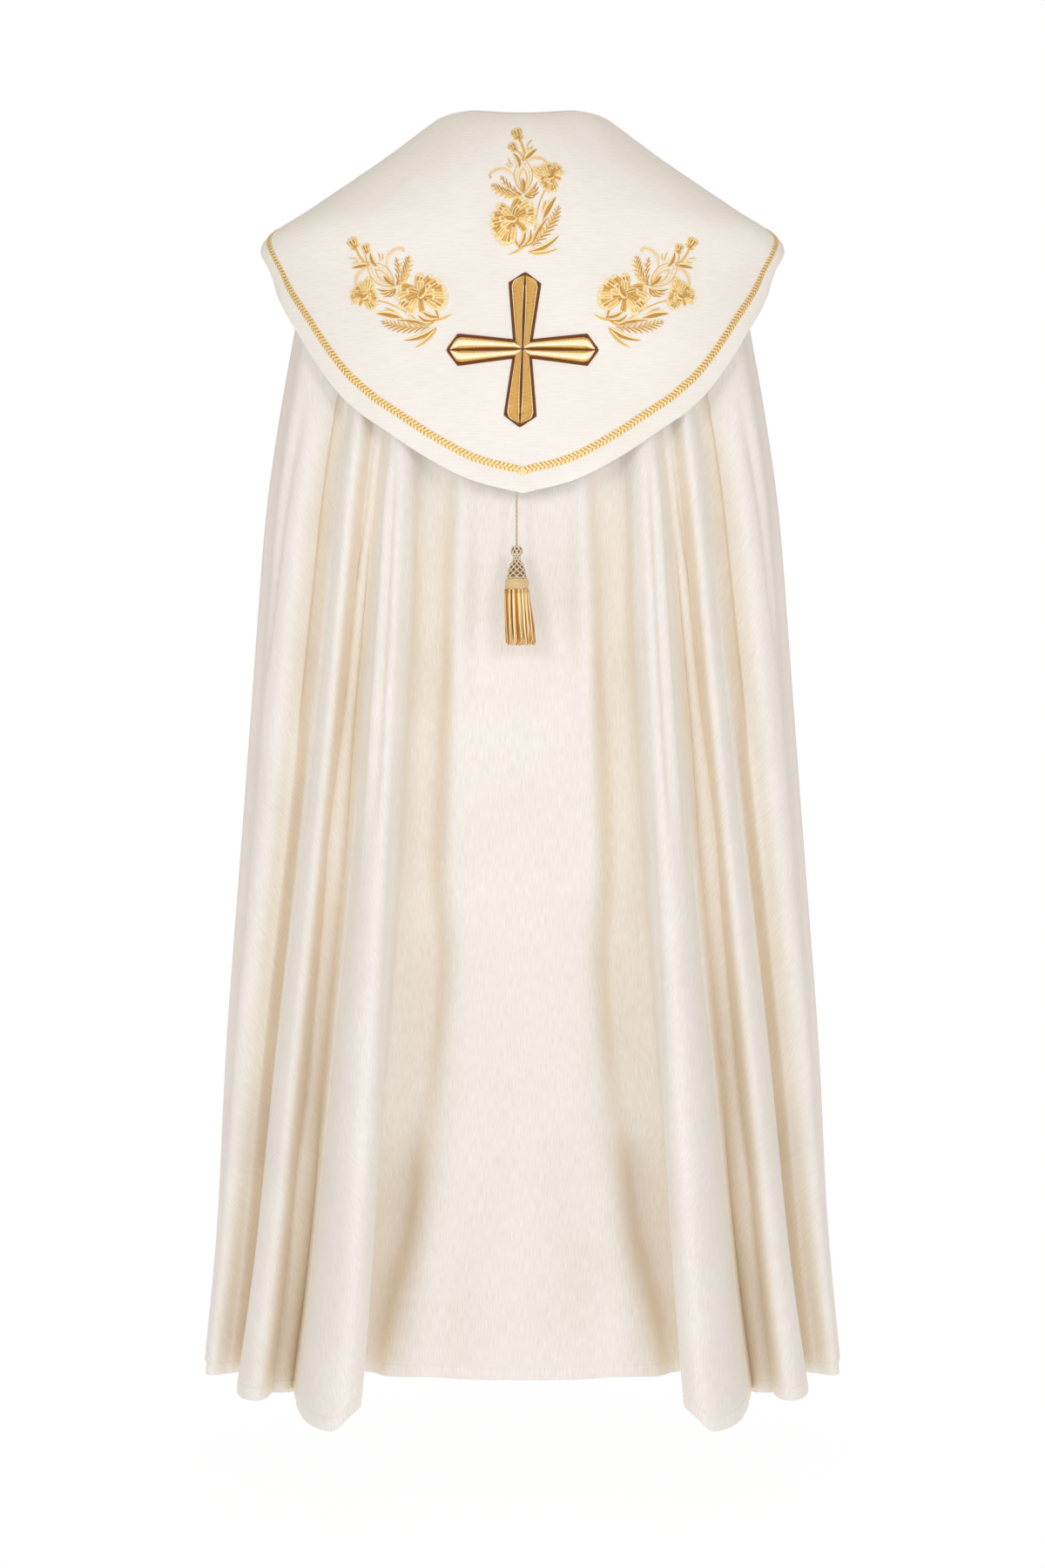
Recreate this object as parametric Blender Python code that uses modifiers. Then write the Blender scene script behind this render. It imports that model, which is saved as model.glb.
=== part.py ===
"""A cope: a church cloak cut as half a circle, open in front, with a stiff shield-shaped hood on its back.

Run it with: blender --background --python part.py
Lengths are in metres and +Z is up. The garment's back faces -Y. The origin is the centre of the neck opening,
at the height of the back neckline, where the wearer's shoulders hold the cope up. Heights are given as drops,
measured down from there. Every piece is symmetric about X = 0 but the cross and the tassel.
"""

import math
from collections import namedtuple

import bmesh
import bpy
from mathutils import Vector

# Driving dimensions.
HEM_DROP = 1.431
BACK_HEM_RISE = 0.019
BACK_PANEL_HALF = 0.172
BACK_RISE_FADES = 0.030
MANTLE_WALL = 0.0020
HOOD_WALL = 0.0030
SEAM_GAP = 0.0003
NECK_SIDE_RISE = 0.014
NECK_FRONT_DIP = 0.060
NECK_FORM_ENDS = 0.12
FRONT_DIP_ENDS = 0.34
FRONT_EDGE_X = (0.030, 0.060)
FOLDS_START = 0.10
FOLDS_RISEN = 0.27
FLARE_POWER = 1.2

GALLOON_WIDTH = 0.0085
GALLOON_THICKNESS = 0.0009
GALLOON_INSET = 0.0225
GALLOON_EDGES = (GALLOON_INSET + GALLOON_WIDTH / 2, GALLOON_INSET - GALLOON_WIDTH / 2)
CROSS_CENTRE_DROP = 0.2866
CROSS_THICKNESS = 0.0018
CROSS_ARM_LENGTH = {"across": 0.0823, "upright": 0.0850}
CROSS_UPRIGHT_LEAN = 2.0
CROSS_WIDTH = {"middle": 0.0215, "end": 0.0355}
CROSS_POINT = 0.0130
CLASP_DROPS = (0.150, 0.165, 0.180, 0.195)
CLASP_WALL = 0.0030
TASSEL_X = -0.0062
TASSEL_CORD_DIAMETER = 0.0026
TASSEL_CORD_LENGTH = 0.0585
TASSEL_SIDES = 18
STRAND_LENGTH = 0.0600
STRAND_GAP = 0.0008
STRAND_SPLAY = 1.17

# Plan sections of the mantle with its folds ironed out: half an ellipse to the back, half to the front.
Section = namedtuple("Section", "drop half_width back front centre")
MANTLE_SECTIONS = (
    Section(0.0020, 0.0640, 0.0640, 0.067, 0.000),
    Section(0.0112, 0.0860, 0.0790, 0.078, 0.000),
    Section(0.0280, 0.1100, 0.0980, 0.092, 0.000),
    Section(0.0550, 0.1490, 0.1210, 0.107, 0.000),
    Section(0.0900, 0.1950, 0.1430, 0.122, 0.000),
    Section(0.1350, 0.2320, 0.1600, 0.136, 0.000),
    Section(0.1950, 0.2530, 0.1720, 0.148, 0.000),
    Section(0.2540, 0.2650, 0.1790, 0.156, 0.000),
    Section(0.3420, 0.2805, 0.1840, 0.164, 0.003),
    Section(0.4320, 0.2930, 0.1870, 0.170, 0.010),
    Section(0.5520, 0.3028, 0.1900, 0.174, 0.022),
    Section(0.7950, 0.3225, 0.1960, 0.176, 0.045),
    Section(1.0410, 0.3430, 0.2040, 0.174, 0.068),
    Section(1.2890, 0.3600, 0.2130, 0.170, 0.088),
    Section(HEM_DROP, 0.3740, 0.2190, 0.168, 0.098),
)

# The hood's form, as sections of its outer side, and its lower edge round the figure.
HOOD_SECTIONS = (
    Section(0.0000, 0.0700, 0.0695, 0.074, 0.000),
    Section(0.0030, 0.0830, 0.0790, 0.082, 0.000),
    Section(0.0080, 0.0970, 0.0890, 0.090, 0.000),
    Section(0.0180, 0.1120, 0.1040, 0.099, 0.000),
    Section(0.0300, 0.1290, 0.1180, 0.108, 0.000),
    Section(0.0500, 0.1590, 0.1360, 0.120, 0.000),
    Section(0.0750, 0.2010, 0.1540, 0.133, 0.000),
    Section(0.1000, 0.2430, 0.1670, 0.144, 0.000),
    Section(0.1370, 0.2970, 0.1800, 0.158, 0.000),
    Section(0.1900, 0.2980, 0.1905, 0.166, 0.000),
    Section(0.2500, 0.3000, 0.2005, 0.172, 0.000),
    Section(0.3400, 0.3010, 0.2090, 0.176, 0.000),
    Section(0.4430, 0.3020, 0.2135, 0.180, 0.000),
)
EdgePoint = namedtuple("EdgePoint", "angle drop")
HOOD_EDGE = (
    EdgePoint(0.0, 0.4430),
    EdgePoint(10.9, 0.4275),
    EdgePoint(20.0, 0.4030),
    EdgePoint(30.0, 0.3700),
    EdgePoint(35.6, 0.3520),
    EdgePoint(41.6, 0.3277),
    EdgePoint(48.3, 0.2947),
    EdgePoint(56.2, 0.2539),
    EdgePoint(66.8, 0.2075),
    EdgePoint(75.0, 0.1650),
    EdgePoint(90.0, 0.1370),
    EdgePoint(120.0, 0.1050),
    EdgePoint(150.0, 0.0600),
    EdgePoint(164.0, 0.0400),
)
HOOD_ANGLES = 30
HOOD_ROWS = 9

# Folds of one side, from the middle of the back to the front edge. Angles run round the section, 0 at the
# middle of the back and 180 at the front edge. at_top and at_hem are the angles of the fold's inner foot, of
# both sides of its crest, and of its outer foot. depths are at the top and the hem, negative for a fold that
# goes in. lean turns the crest from the section's normal. steps is how finely its spline is cut.
Fold = namedtuple("Fold", "name at_top at_hem depths lean steps")
FOLDS = (
    Fold("back_ridge", (6, 9, 12, 15), (5, 11, 19, 27), (0.006, 0.006), 0, 1),
    Fold("back_fold", (18.5, 26.6, 30.0, 31.2), (30.6, 32.6, 42.6, 43.6), (0.012, 0.224), -33, 3),
    Fold("back_recess", (31.8, 32.3, 32.8, 33.4), (44.2, 45, 46.4, 47.4), (0.010, 0.008), 0, 1),
    Fold("arm_back_fold", (34.2, 38.6, 41.2, 41.6), (48.2, 50.8, 58.2, 59.8), (0.021, 0.112), -42, 3),
    Fold("arm_recess", (42.6, 43.4, 44.8, 46.4), (60.2, 60.8, 62.4, 64.2), (-0.010, -0.030), -15, 1),
    Fold("arm_fold", (47, 57, 63, 71), (65.0, 66.2, 70.0, 76), (0.018, 0.026), -20, 1),
    Fold("side_swell", (76, 81, 88, 94), (81, 85, 92, 97), (0.0, 0.002), 0, 1),
    Fold("front_arm_fold", (101, 106, 110, 114), (107, 109, 116, 119), (0.012, 0.060), 50, 2),
    Fold("front_fold", (122, 127, 132, 136), (125, 128, 137, 140), (0.012, 0.100), 25, 2),
    Fold("front_edge_fold", (145, 149, 154, 158), (147, 150, 159, 162), (0.008, 0.085), 8, 2),
)
# How far down the mantle's rows of points lie.
ROW_DROPS = (
    0.002, 0.010, 0.020, 0.034, 0.054, 0.080, 0.115, 0.160, 0.215, 0.285,
    0.370, 0.470, 0.590, 0.720, 0.860, 1.000, 1.135, 1.255, 1.355, HEM_DROP,
)  # fmt: skip

COLOURS = {
    "ivory satin": ((0.86, 0.81, 0.74), 0.42, 0.0),
    "hood satin": ((0.88, 0.83, 0.77), 0.45, 0.0),
    "gold braid": ((0.74, 0.53, 0.25), 0.38, 0.3),
    "gold thread": ((0.78, 0.60, 0.33), 0.40, 0.2),
}


def smooth_step(value):
    value = min(1.0, max(0.0, value))
    return value * value * (3 - 2 * value)


def read_table(rows, column, at, key="drop"):
    """A column of a table at a place between its rows, along a smooth curve through them."""
    keys = [getattr(row, key) for row in rows]
    values = [getattr(row, column) for row in rows]
    last = len(rows) - 1
    at = min(keys[last], max(keys[0], at))
    i = min(last - 1, max(k for k in range(len(rows)) if keys[k] <= at))

    def slope(k):
        before, after = max(0, k - 1), min(last, k + 1)
        return (values[after] - values[before]) / (keys[after] - keys[before])

    step = keys[i + 1] - keys[i]
    t = (at - keys[i]) / step
    return (
        (2 * t**3 - 3 * t**2 + 1) * values[i]
        + (t**3 - 2 * t**2 + t) * step * slope(i)
        + (3 * t**2 - 2 * t**3) * values[i + 1]
        + (t**3 - t**2) * step * slope(i + 1)
    )


def section_at(rows, drop):
    return Section(drop, *(read_table(rows, name, drop) for name in Section._fields[1:]))


def front_edge_x(drop):
    """Half the gap between the two front edges."""
    top, hem = FRONT_EDGE_X
    return top + (hem - top) * smooth_step(drop / HEM_DROP)


def true_angle(section, degrees):
    """A nominal angle in radians. Past the side, angles are squeezed so that 180 is the front edge."""
    if degrees <= 90:
        return math.radians(degrees)
    edge = math.pi - math.asin(front_edge_x(section.drop) / section.half_width)
    return math.pi / 2 + (edge - math.pi / 2) * (degrees - 90) / 90


def plan_point(section, degrees, out=0.0, turn=0.0):
    """A point of a section in plan, moved out along its normal, which may first be turned."""
    angle = true_angle(section, degrees)
    depth = section.back if angle < math.pi / 2 else section.front
    point = Vector((section.half_width * math.sin(angle), section.centre - depth * math.cos(angle)))
    normal = Vector((math.sin(angle) / section.half_width, -math.cos(angle) / depth)).normalized()
    towards = math.atan2(normal.y, normal.x) + turn
    return point + out * Vector((math.cos(towards), math.sin(towards)))


def height(section, point):
    """The height of a plan point: the neckline is lower in front, the hem higher behind."""
    angle = math.atan2(point.x, section.centre - point.y)
    near_neck = 1 - smooth_step(section.drop / NECK_FORM_ENDS)
    z = -section.drop + NECK_SIDE_RISE * near_neck * math.sin(min(angle, math.pi / 2)) ** 2
    forward = smooth_step((math.degrees(angle) - 80) / 90)
    z -= (NECK_FRONT_DIP + NECK_SIDE_RISE * near_neck) * forward * (
        1 - smooth_step(section.drop / FRONT_DIP_ENDS)
    )
    if point.y < section.centre:
        behind = 1 - smooth_step((abs(point.x) - BACK_PANEL_HALF) / BACK_RISE_FADES)
        z += BACK_HEM_RISE * behind * (section.drop / HEM_DROP) ** 2
    return z


def fold_handles(section, fold):
    """The fold's four handles in plan: its inner foot, two on its crest, and its outer foot."""
    down = max(0.0, (section.drop - FOLDS_RISEN) / (HEM_DROP - FOLDS_RISEN))
    risen = smooth_step((section.drop - FOLDS_START) / (FOLDS_RISEN - FOLDS_START))
    top, hem = fold.depths
    depth = risen * (top + (hem - top) * down**FLARE_POWER)
    turn = math.radians(fold.lean)
    angles = [at + (to - at) * down for at, to in zip(fold.at_top, fold.at_hem)]
    outs = (0, depth, depth, 0)
    return [plan_point(section, angle, out, turn) for angle, out in zip(angles, outs)]


def spline_point(handles, i, t):
    """A uniform cubic B-spline between handles i and i + 1."""
    weights = (
        (1 - t) ** 3,
        3 * t**3 - 6 * t**2 + 4,
        -3 * t**3 + 3 * t**2 + 3 * t + 1,
        t**3,
    )
    total = Vector((0, 0))
    for k, weight in enumerate(weights):
        total += handles[i - 1 + k] * (weight / 6)
    return total


def mantle_row(drop):
    """One level of the mantle's half on +X, from the middle of the back to the front edge."""
    section = section_at(MANTLE_SECTIONS, drop)
    handles = [plan_point(section, 0)]
    steps = [1]
    for fold in FOLDS:
        handles += fold_handles(section, fold)
        steps += [1] + [fold.steps] * 3
    near_edge, edge = plan_point(section, 171), plan_point(section, 180)
    handles += [near_edge, edge]
    steps += [1]
    first = handles[1]
    handles = [Vector((-first.x, first.y)), *handles, 2 * edge - near_edge]
    points = []
    for i, count in enumerate(steps, start=1):
        points += [spline_point(handles, i, k / count) for k in range(count)]
    points.append(spline_point(handles, len(steps), 1.0))
    points[0].x = 0.0
    return [Vector((p.x, p.y, height(section, p))) for p in points]


def hood_point(angle, drop):
    section = section_at(HOOD_SECTIONS, drop)
    point = plan_point(section, angle)
    return Vector((point.x, point.y, height(section, point)))


def hood_normal(angle, drop):
    near, step = 0.5, 0.001
    around = hood_point(angle + near, drop) - hood_point(max(0, angle - near), drop)
    down = hood_point(angle, drop + step) - hood_point(angle, max(0.0, drop - step))
    return down.cross(around).normalized()


def hood_back_point(x, z, out):
    """The point of the hood's back at a place seen from behind, moved out from it."""
    section = section_at(HOOD_SECTIONS, -z)
    angle = math.degrees(math.asin(abs(x) / section.half_width))
    normal = hood_normal(angle, -z)
    if x < 0:
        normal.x = -normal.x
    y = section.centre - section.back * math.cos(math.radians(angle))
    return Vector((x, y, z)) + normal * out


def new_object(name, mesh, colour, collection):
    material = bpy.data.materials.new(name)
    material.use_nodes = True
    shader = material.node_tree.nodes["Principled BSDF"]
    base, roughness, metallic = COLOURS[colour]
    shader.inputs["Base Color"].default_value = (*base, 1.0)
    shader.inputs["Roughness"].default_value = roughness
    shader.inputs["Metallic"].default_value = metallic
    mesh.materials.append(material)
    obj = bpy.data.objects.new(name, mesh)
    collection.objects.link(obj)
    return obj


def sheet_mesh(name, rows):
    """A sheet through rows of points, facing out where rows go down and their points go round to +X."""
    bm = bmesh.new()
    grid = [[bm.verts.new(point) for point in row] for row in rows]
    for upper, lower in zip(grid, grid[1:]):
        for k in range(len(upper) - 1):
            bm.faces.new((upper[k], lower[k], lower[k + 1], upper[k + 1]))
    mesh = bpy.data.meshes.new(name)
    bm.to_mesh(mesh)
    bm.free()
    mesh.shade_smooth()
    return mesh


def add_mirror(obj):
    mirror = obj.modifiers.new("Mirror", "MIRROR")
    mirror.merge_threshold = 0.0001


def add_thickness(obj, wall, offset):
    """offset is -1 for a wall inside the sheet, and 1 for one outside it."""
    solidify = obj.modifiers.new("Wall", "SOLIDIFY")
    solidify.thickness = wall
    solidify.offset = offset


def make_mantle(collection):
    mesh = sheet_mesh("mantle", [mantle_row(drop) for drop in ROW_DROPS])
    obj = new_object("mantle", mesh, "ivory satin", collection)
    add_mirror(obj)
    add_thickness(obj, MANTLE_WALL, -1)


def hood_edge_drop(angle):
    return read_table(HOOD_EDGE, "drop", angle, key="angle")


def hood_edge_step(angle, distance):
    """(angle, drop) of the place that lies this far from the hood's edge, square to it."""
    near = 0.5
    drop = hood_edge_drop(angle)
    along = hood_point(angle + near, hood_edge_drop(angle + near)) - hood_point(
        max(0, angle - near), hood_edge_drop(max(0, angle - near))
    )
    if angle == 0:
        along.z = 0
    inward = hood_normal(angle, drop).cross(along).normalized()
    round_step = (hood_point(angle + near, drop) - hood_point(angle, drop)) / near
    down_step = (hood_point(angle, drop) - hood_point(angle, drop - 0.001)) / 0.001
    turn = inward.dot(round_step) / round_step.length_squared
    fall = inward.dot(down_step) / down_step.length_squared
    return angle + turn * distance, drop + fall * distance


def hood_column(angle):
    """(angle, drop) down one column of the hood's points: its last ones follow the braid and the edge."""
    places = [hood_edge_step(angle, distance) for distance in GALLOON_EDGES]
    last_angle, last_drop = places[0]
    column = []
    for r in range(HOOD_ROWS):
        share = (r / HOOD_ROWS) ** 1.2
        column.append((angle + (last_angle - angle) * share, last_drop * share))
    return column + places + [(angle, hood_edge_drop(angle))]


def hood_columns():
    last_angle = HOOD_EDGE[-1].angle
    return [hood_column(last_angle * k / HOOD_ANGLES) for k in range(HOOD_ANGLES + 1)]


def hood_rows(first, last, out):
    """Rows of points over the hood, moved out from it, with the middle of the back at X = 0."""
    rows = []
    for r in range(first, last):
        row = [hood_point(*column[r]) + hood_normal(*column[r]) * out for column in hood_columns()]
        row[0].x = 0.0
        rows.append(row)
    return rows


def make_hood(collection):
    mesh = sheet_mesh("hood", hood_rows(0, HOOD_ROWS + 3, 0))
    obj = new_object("hood", mesh, "hood satin", collection)
    add_mirror(obj)
    add_thickness(obj, HOOD_WALL, -1)


def make_galloon(collection):
    mesh = sheet_mesh("galloon", hood_rows(HOOD_ROWS, HOOD_ROWS + 2, SEAM_GAP))
    obj = new_object("galloon", mesh, "gold braid", collection)
    add_mirror(obj)
    add_thickness(obj, GALLOON_THICKNESS, 1)


def cross_arm(length):
    """Rows across one arm, from the cross's middle to the arm's point, as (along, half width)."""
    shoulder = length - CROSS_POINT
    half_middle, half_end = CROSS_WIDTH["middle"] / 2, CROSS_WIDTH["end"] / 2
    rows = []
    for k in range(7):
        along = half_middle + (shoulder - half_middle) * k / 6
        rows.append((along, half_middle + (half_end - half_middle) * k / 6))
    rows.append(((shoulder + length) / 2, half_end / 2))
    return rows


def make_cross(collection):
    bm = bmesh.new()
    centre = -CROSS_CENTRE_DROP
    across = (-1, -0.5, 0, 0.5, 1)
    half = CROSS_WIDTH["middle"] / 2
    arms = (
        ("across", 0),
        ("upright", 90 - CROSS_UPRIGHT_LEAN),
        ("across", 180),
        ("upright", 270 - CROSS_UPRIGHT_LEAN),
    )

    def place(u, v):
        return bm.verts.new(hood_back_point(u, centre + v, SEAM_GAP))

    def join(upper, lower):
        for k in range(len(upper) - 1):
            bm.faces.new((upper[k], upper[k + 1], lower[k + 1], lower[k]))

    middle = [[place(a * half, b * half) for a in across] for b in reversed(across)]
    for upper, lower in zip(middle, middle[1:]):
        join(lower, upper)
    sides = (
        [row[-1] for row in middle],
        middle[0],
        [row[0] for row in reversed(middle)],
        middle[-1][::-1],
    )
    for (kind, turn), root in zip(arms, sides):
        turn = math.radians(turn)
        before = root[::-1]
        length = CROSS_ARM_LENGTH[kind]
        for along, half_width in cross_arm(length)[1:]:
            row = []
            for share in across:
                side = share * half_width
                u = along * math.cos(turn) - side * math.sin(turn)
                v = along * math.sin(turn) + side * math.cos(turn)
                row.append(place(u, v))
            join(before, row)
            before = row
        tip = place(length * math.cos(turn), length * math.sin(turn))
        for k in range(len(before) - 1):
            bm.faces.new((before[k], before[k + 1], tip))
    bmesh.ops.recalc_face_normals(bm, faces=bm.faces)
    if sum((face.normal for face in bm.faces), Vector()).y > 0:
        bmesh.ops.reverse_faces(bm, faces=bm.faces)
    mesh = bpy.data.meshes.new("cross")
    bm.to_mesh(mesh)
    bm.free()
    obj = new_object("cross", mesh, "gold thread", collection)
    add_thickness(obj, CROSS_THICKNESS, 1)


def make_clasp(collection):
    """The tab that closes the front edges over the chest: it follows the mantle's last points, moved out."""
    rows = []
    for drop in CLASP_DROPS:
        ends = mantle_row(drop)[-3:]
        edge = ends[-1]
        row = [Vector((0, edge.y, edge.z)), Vector((edge.x / 2, edge.y, edge.z)), *reversed(ends)]
        rows.append([point + Vector((0, SEAM_GAP, 0)) for point in row])
    mesh = sheet_mesh("clasp", rows[::-1])
    obj = new_object("clasp", mesh, "ivory satin", collection)
    add_mirror(obj)
    add_thickness(obj, CLASP_WALL, 1)


def tassel_top():
    """Where the tassel's cord leaves the hood's tip: just under its edge, at the middle of its wall."""
    tip, beside = (hood_point(*column[-1]) for column in hood_columns()[:2])
    under = tip.lerp(beside, abs(TASSEL_X) / beside.x)
    inside = -hood_normal(0, hood_edge_drop(0)) * HOOD_WALL / 2
    return Vector((TASSEL_X, under.y + inside.y, under.z + inside.z - SEAM_GAP))


def make_tassel_cord(collection):
    top = tassel_top()
    curve = bpy.data.curves.new("tassel_cord", "CURVE")
    curve.dimensions = "3D"
    curve.bevel_depth = TASSEL_CORD_DIAMETER / 2
    curve.bevel_resolution = 2
    curve.use_fill_caps = True
    spline = curve.splines.new("POLY")
    count = 9
    spline.points.add(count - 1)
    for k, point in enumerate(spline.points):
        point.co = (*(top - Vector((0, 0, TASSEL_CORD_LENGTH * k / (count - 1)))), 1.0)
    new_object("tassel_cord", curve, "gold braid", collection)


def ring(bm, centre, radius, drop):
    points = []
    for k in range(TASSEL_SIDES):
        angle = math.tau * k / TASSEL_SIDES
        points.append(
            bm.verts.new(centre + Vector((radius * math.cos(angle), radius * math.sin(angle), -drop)))
        )
    return points


def bridge(bm, upper, lower):
    faces = []
    for k in range(TASSEL_SIDES):
        after = (k + 1) % TASSEL_SIDES
        faces.append(bm.faces.new((upper[k], lower[k], lower[after], upper[after])))
    return faces


def make_tassel(collection):
    """A turned head, and strands drawn down from the cells of its underside."""
    head = (
        # radius, drop below the head's top
        (0.0030, 0.0000),
        (0.0058, 0.0020),
        (0.0066, 0.0052),
        (0.0056, 0.0085),
        (0.0042, 0.0108),
        (0.0042, 0.0150),
        (0.0072, 0.0195),
        (0.0096, 0.0270),
        (0.0108, 0.0350),
        (0.0132, 0.0368),
        (0.0138, 0.0415),
        (0.0134, 0.0470),
    )
    underside = (0.0134, 0.0100, 0.0066, 0.0030)
    top = tassel_top() - Vector((0, 0, TASSEL_CORD_LENGTH + SEAM_GAP))
    bm = bmesh.new()
    rings = [ring(bm, top, radius, drop) for radius, drop in head]
    for upper, lower in zip(rings, rings[1:]):
        bridge(bm, upper, lower)
    bm.faces.new(rings[0])
    bottom = rings[-1]
    cells = []
    for radius in underside[1:]:
        inner = ring(bm, top, radius, head[-1][1])
        cells += bridge(bm, bottom, inner)
        bottom = inner
    bm.faces.new(bottom[::-1])
    bm.normal_update()
    bmesh.ops.inset_individual(bm, faces=cells, thickness=STRAND_GAP / 2)
    strands = cells
    for part in range(2):
        strands = bmesh.ops.extrude_discrete_faces(bm, faces=strands)["faces"]
        for face in strands:
            for vert in face.verts:
                across = Vector((vert.co.x - top.x, vert.co.y - top.y, 0))
                vert.co += across * (STRAND_SPLAY - 1) / 2
                vert.co.z -= STRAND_LENGTH / 2
    bmesh.ops.recalc_face_normals(bm, faces=bm.faces)
    mesh = bpy.data.meshes.new("tassel")
    bm.to_mesh(mesh)
    bm.free()
    new_object("tassel", mesh, "gold thread", collection)


def clear_scene():
    for obj in list(bpy.data.objects):
        bpy.data.objects.remove(obj)


def main():
    clear_scene()
    collection = bpy.data.collections.new("cope")
    bpy.context.scene.collection.children.link(collection)
    make_mantle(collection)
    make_hood(collection)
    make_galloon(collection)
    make_cross(collection)
    make_clasp(collection)
    make_tassel_cord(collection)
    make_tassel(collection)


if __name__ == "__main__":
    main()
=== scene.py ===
"""The looks of a worn cope: ivory satin in folds, gold braid, an applied cross, embroidery and a tassel.

Lengths are in metres, +Z is up, the back faces -Y, and the origin is the centre of the neck opening.
"""

import math
import random
from collections import namedtuple

import bpy
import numpy as np
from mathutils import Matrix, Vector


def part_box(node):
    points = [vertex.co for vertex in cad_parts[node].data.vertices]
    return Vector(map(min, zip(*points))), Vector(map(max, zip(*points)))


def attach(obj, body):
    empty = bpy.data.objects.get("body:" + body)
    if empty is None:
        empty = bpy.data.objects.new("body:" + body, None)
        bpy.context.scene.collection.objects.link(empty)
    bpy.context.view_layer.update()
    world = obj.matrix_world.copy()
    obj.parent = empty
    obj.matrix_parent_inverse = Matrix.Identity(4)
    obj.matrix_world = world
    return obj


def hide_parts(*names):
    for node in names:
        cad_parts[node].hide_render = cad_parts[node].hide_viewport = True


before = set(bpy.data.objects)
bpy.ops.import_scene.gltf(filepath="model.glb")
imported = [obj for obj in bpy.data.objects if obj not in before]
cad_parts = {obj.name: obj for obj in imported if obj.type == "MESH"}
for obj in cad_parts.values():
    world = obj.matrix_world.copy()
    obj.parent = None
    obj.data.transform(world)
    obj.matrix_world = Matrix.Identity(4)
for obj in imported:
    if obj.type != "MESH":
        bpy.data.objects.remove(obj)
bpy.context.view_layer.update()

# The photograph's camera: its frame, its distance from the plane Y = 0, and the height of its middle.
PHOTO_WIDTH, PHOTO_HEIGHT = 1200, 1800
PHOTO_SPAN = 1.8
CAMERA_DISTANCE = 3.2
CAMERA_HEIGHT = -0.754
PIXELS_PER_METRE = PHOTO_HEIGHT / PHOTO_SPAN
SENSOR = 36.0
FLOOR_HEIGHT = -1.54
FLOOR_RADIUS = 9.0

# The same construction as the solids': see the tables below.
HEM_DROP = 1.431
BACK_HEM_RISE = 0.019
BACK_PANEL_HALF = 0.172
BACK_RISE_FADES = 0.030
MANTLE_WALL = 0.0018
HOOD_WALL = 0.0030
SEAM_GAP = 0.0003
NECK_SIDE_RISE = 0.014
NECK_FRONT_DIP = 0.060
NECK_FORM_ENDS = 0.12
FRONT_DIP_ENDS = 0.34
FRONT_EDGE_X = (0.030, 0.060)
FOLDS_START = 0.10
FOLDS_RISEN = 0.27
FLARE_POWER = 1.2
GALLOON_WIDTH = 0.0085
GALLOON_INSET = 0.0225
CROSS_CENTRE_DROP = 0.2866
CROSS_ARM_LENGTH = {"across": 0.0823, "upright": 0.0850}
CROSS_UPRIGHT_LEAN = 2.0
CROSS_WIDTH = {"middle": 0.0215, "end": 0.0355}
CROSS_POINT = 0.0130
CLASP_DROPS = (0.150, 0.195)
CLASP_WALL = 0.0030
TASSEL_CORD_DIAMETER = 0.0026
TASSEL_CORD_LENGTH = 0.0585
TASSEL_CORD_INSIDE = 0.0550
CUT_RADIUS = 1.45

Section = namedtuple("Section", "drop half_width back front centre")
MANTLE_SECTIONS = (
    Section(0.0020, 0.0640, 0.0640, 0.067, 0.000),
    Section(0.0112, 0.0860, 0.0790, 0.078, 0.000),
    Section(0.0280, 0.1100, 0.0980, 0.092, 0.000),
    Section(0.0550, 0.1490, 0.1210, 0.107, 0.000),
    Section(0.0900, 0.1950, 0.1430, 0.122, 0.000),
    Section(0.1350, 0.2320, 0.1600, 0.136, 0.000),
    Section(0.1950, 0.2530, 0.1720, 0.148, 0.000),
    Section(0.2540, 0.2650, 0.1790, 0.156, 0.000),
    Section(0.3420, 0.2805, 0.1840, 0.164, 0.003),
    Section(0.4320, 0.2930, 0.1870, 0.170, 0.010),
    Section(0.5520, 0.3028, 0.1900, 0.174, 0.022),
    Section(0.7950, 0.3225, 0.1960, 0.176, 0.045),
    Section(1.0410, 0.3430, 0.2040, 0.174, 0.068),
    Section(1.2890, 0.3600, 0.2130, 0.170, 0.088),
    Section(HEM_DROP, 0.3740, 0.2190, 0.168, 0.098),
)
HOOD_SECTIONS = (
    Section(0.0000, 0.0700, 0.0695, 0.074, 0.000),
    Section(0.0030, 0.0830, 0.0790, 0.082, 0.000),
    Section(0.0080, 0.0970, 0.0890, 0.090, 0.000),
    Section(0.0180, 0.1120, 0.1040, 0.099, 0.000),
    Section(0.0300, 0.1290, 0.1180, 0.108, 0.000),
    Section(0.0500, 0.1590, 0.1360, 0.120, 0.000),
    Section(0.0750, 0.2010, 0.1540, 0.133, 0.000),
    Section(0.1000, 0.2430, 0.1670, 0.144, 0.000),
    Section(0.1370, 0.2970, 0.1800, 0.158, 0.000),
    Section(0.1900, 0.2980, 0.1905, 0.166, 0.000),
    Section(0.2500, 0.3000, 0.2005, 0.172, 0.000),
    Section(0.3400, 0.3010, 0.2090, 0.176, 0.000),
    Section(0.4430, 0.3020, 0.2135, 0.180, 0.000),
)
EdgePoint = namedtuple("EdgePoint", "angle drop")
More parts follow.
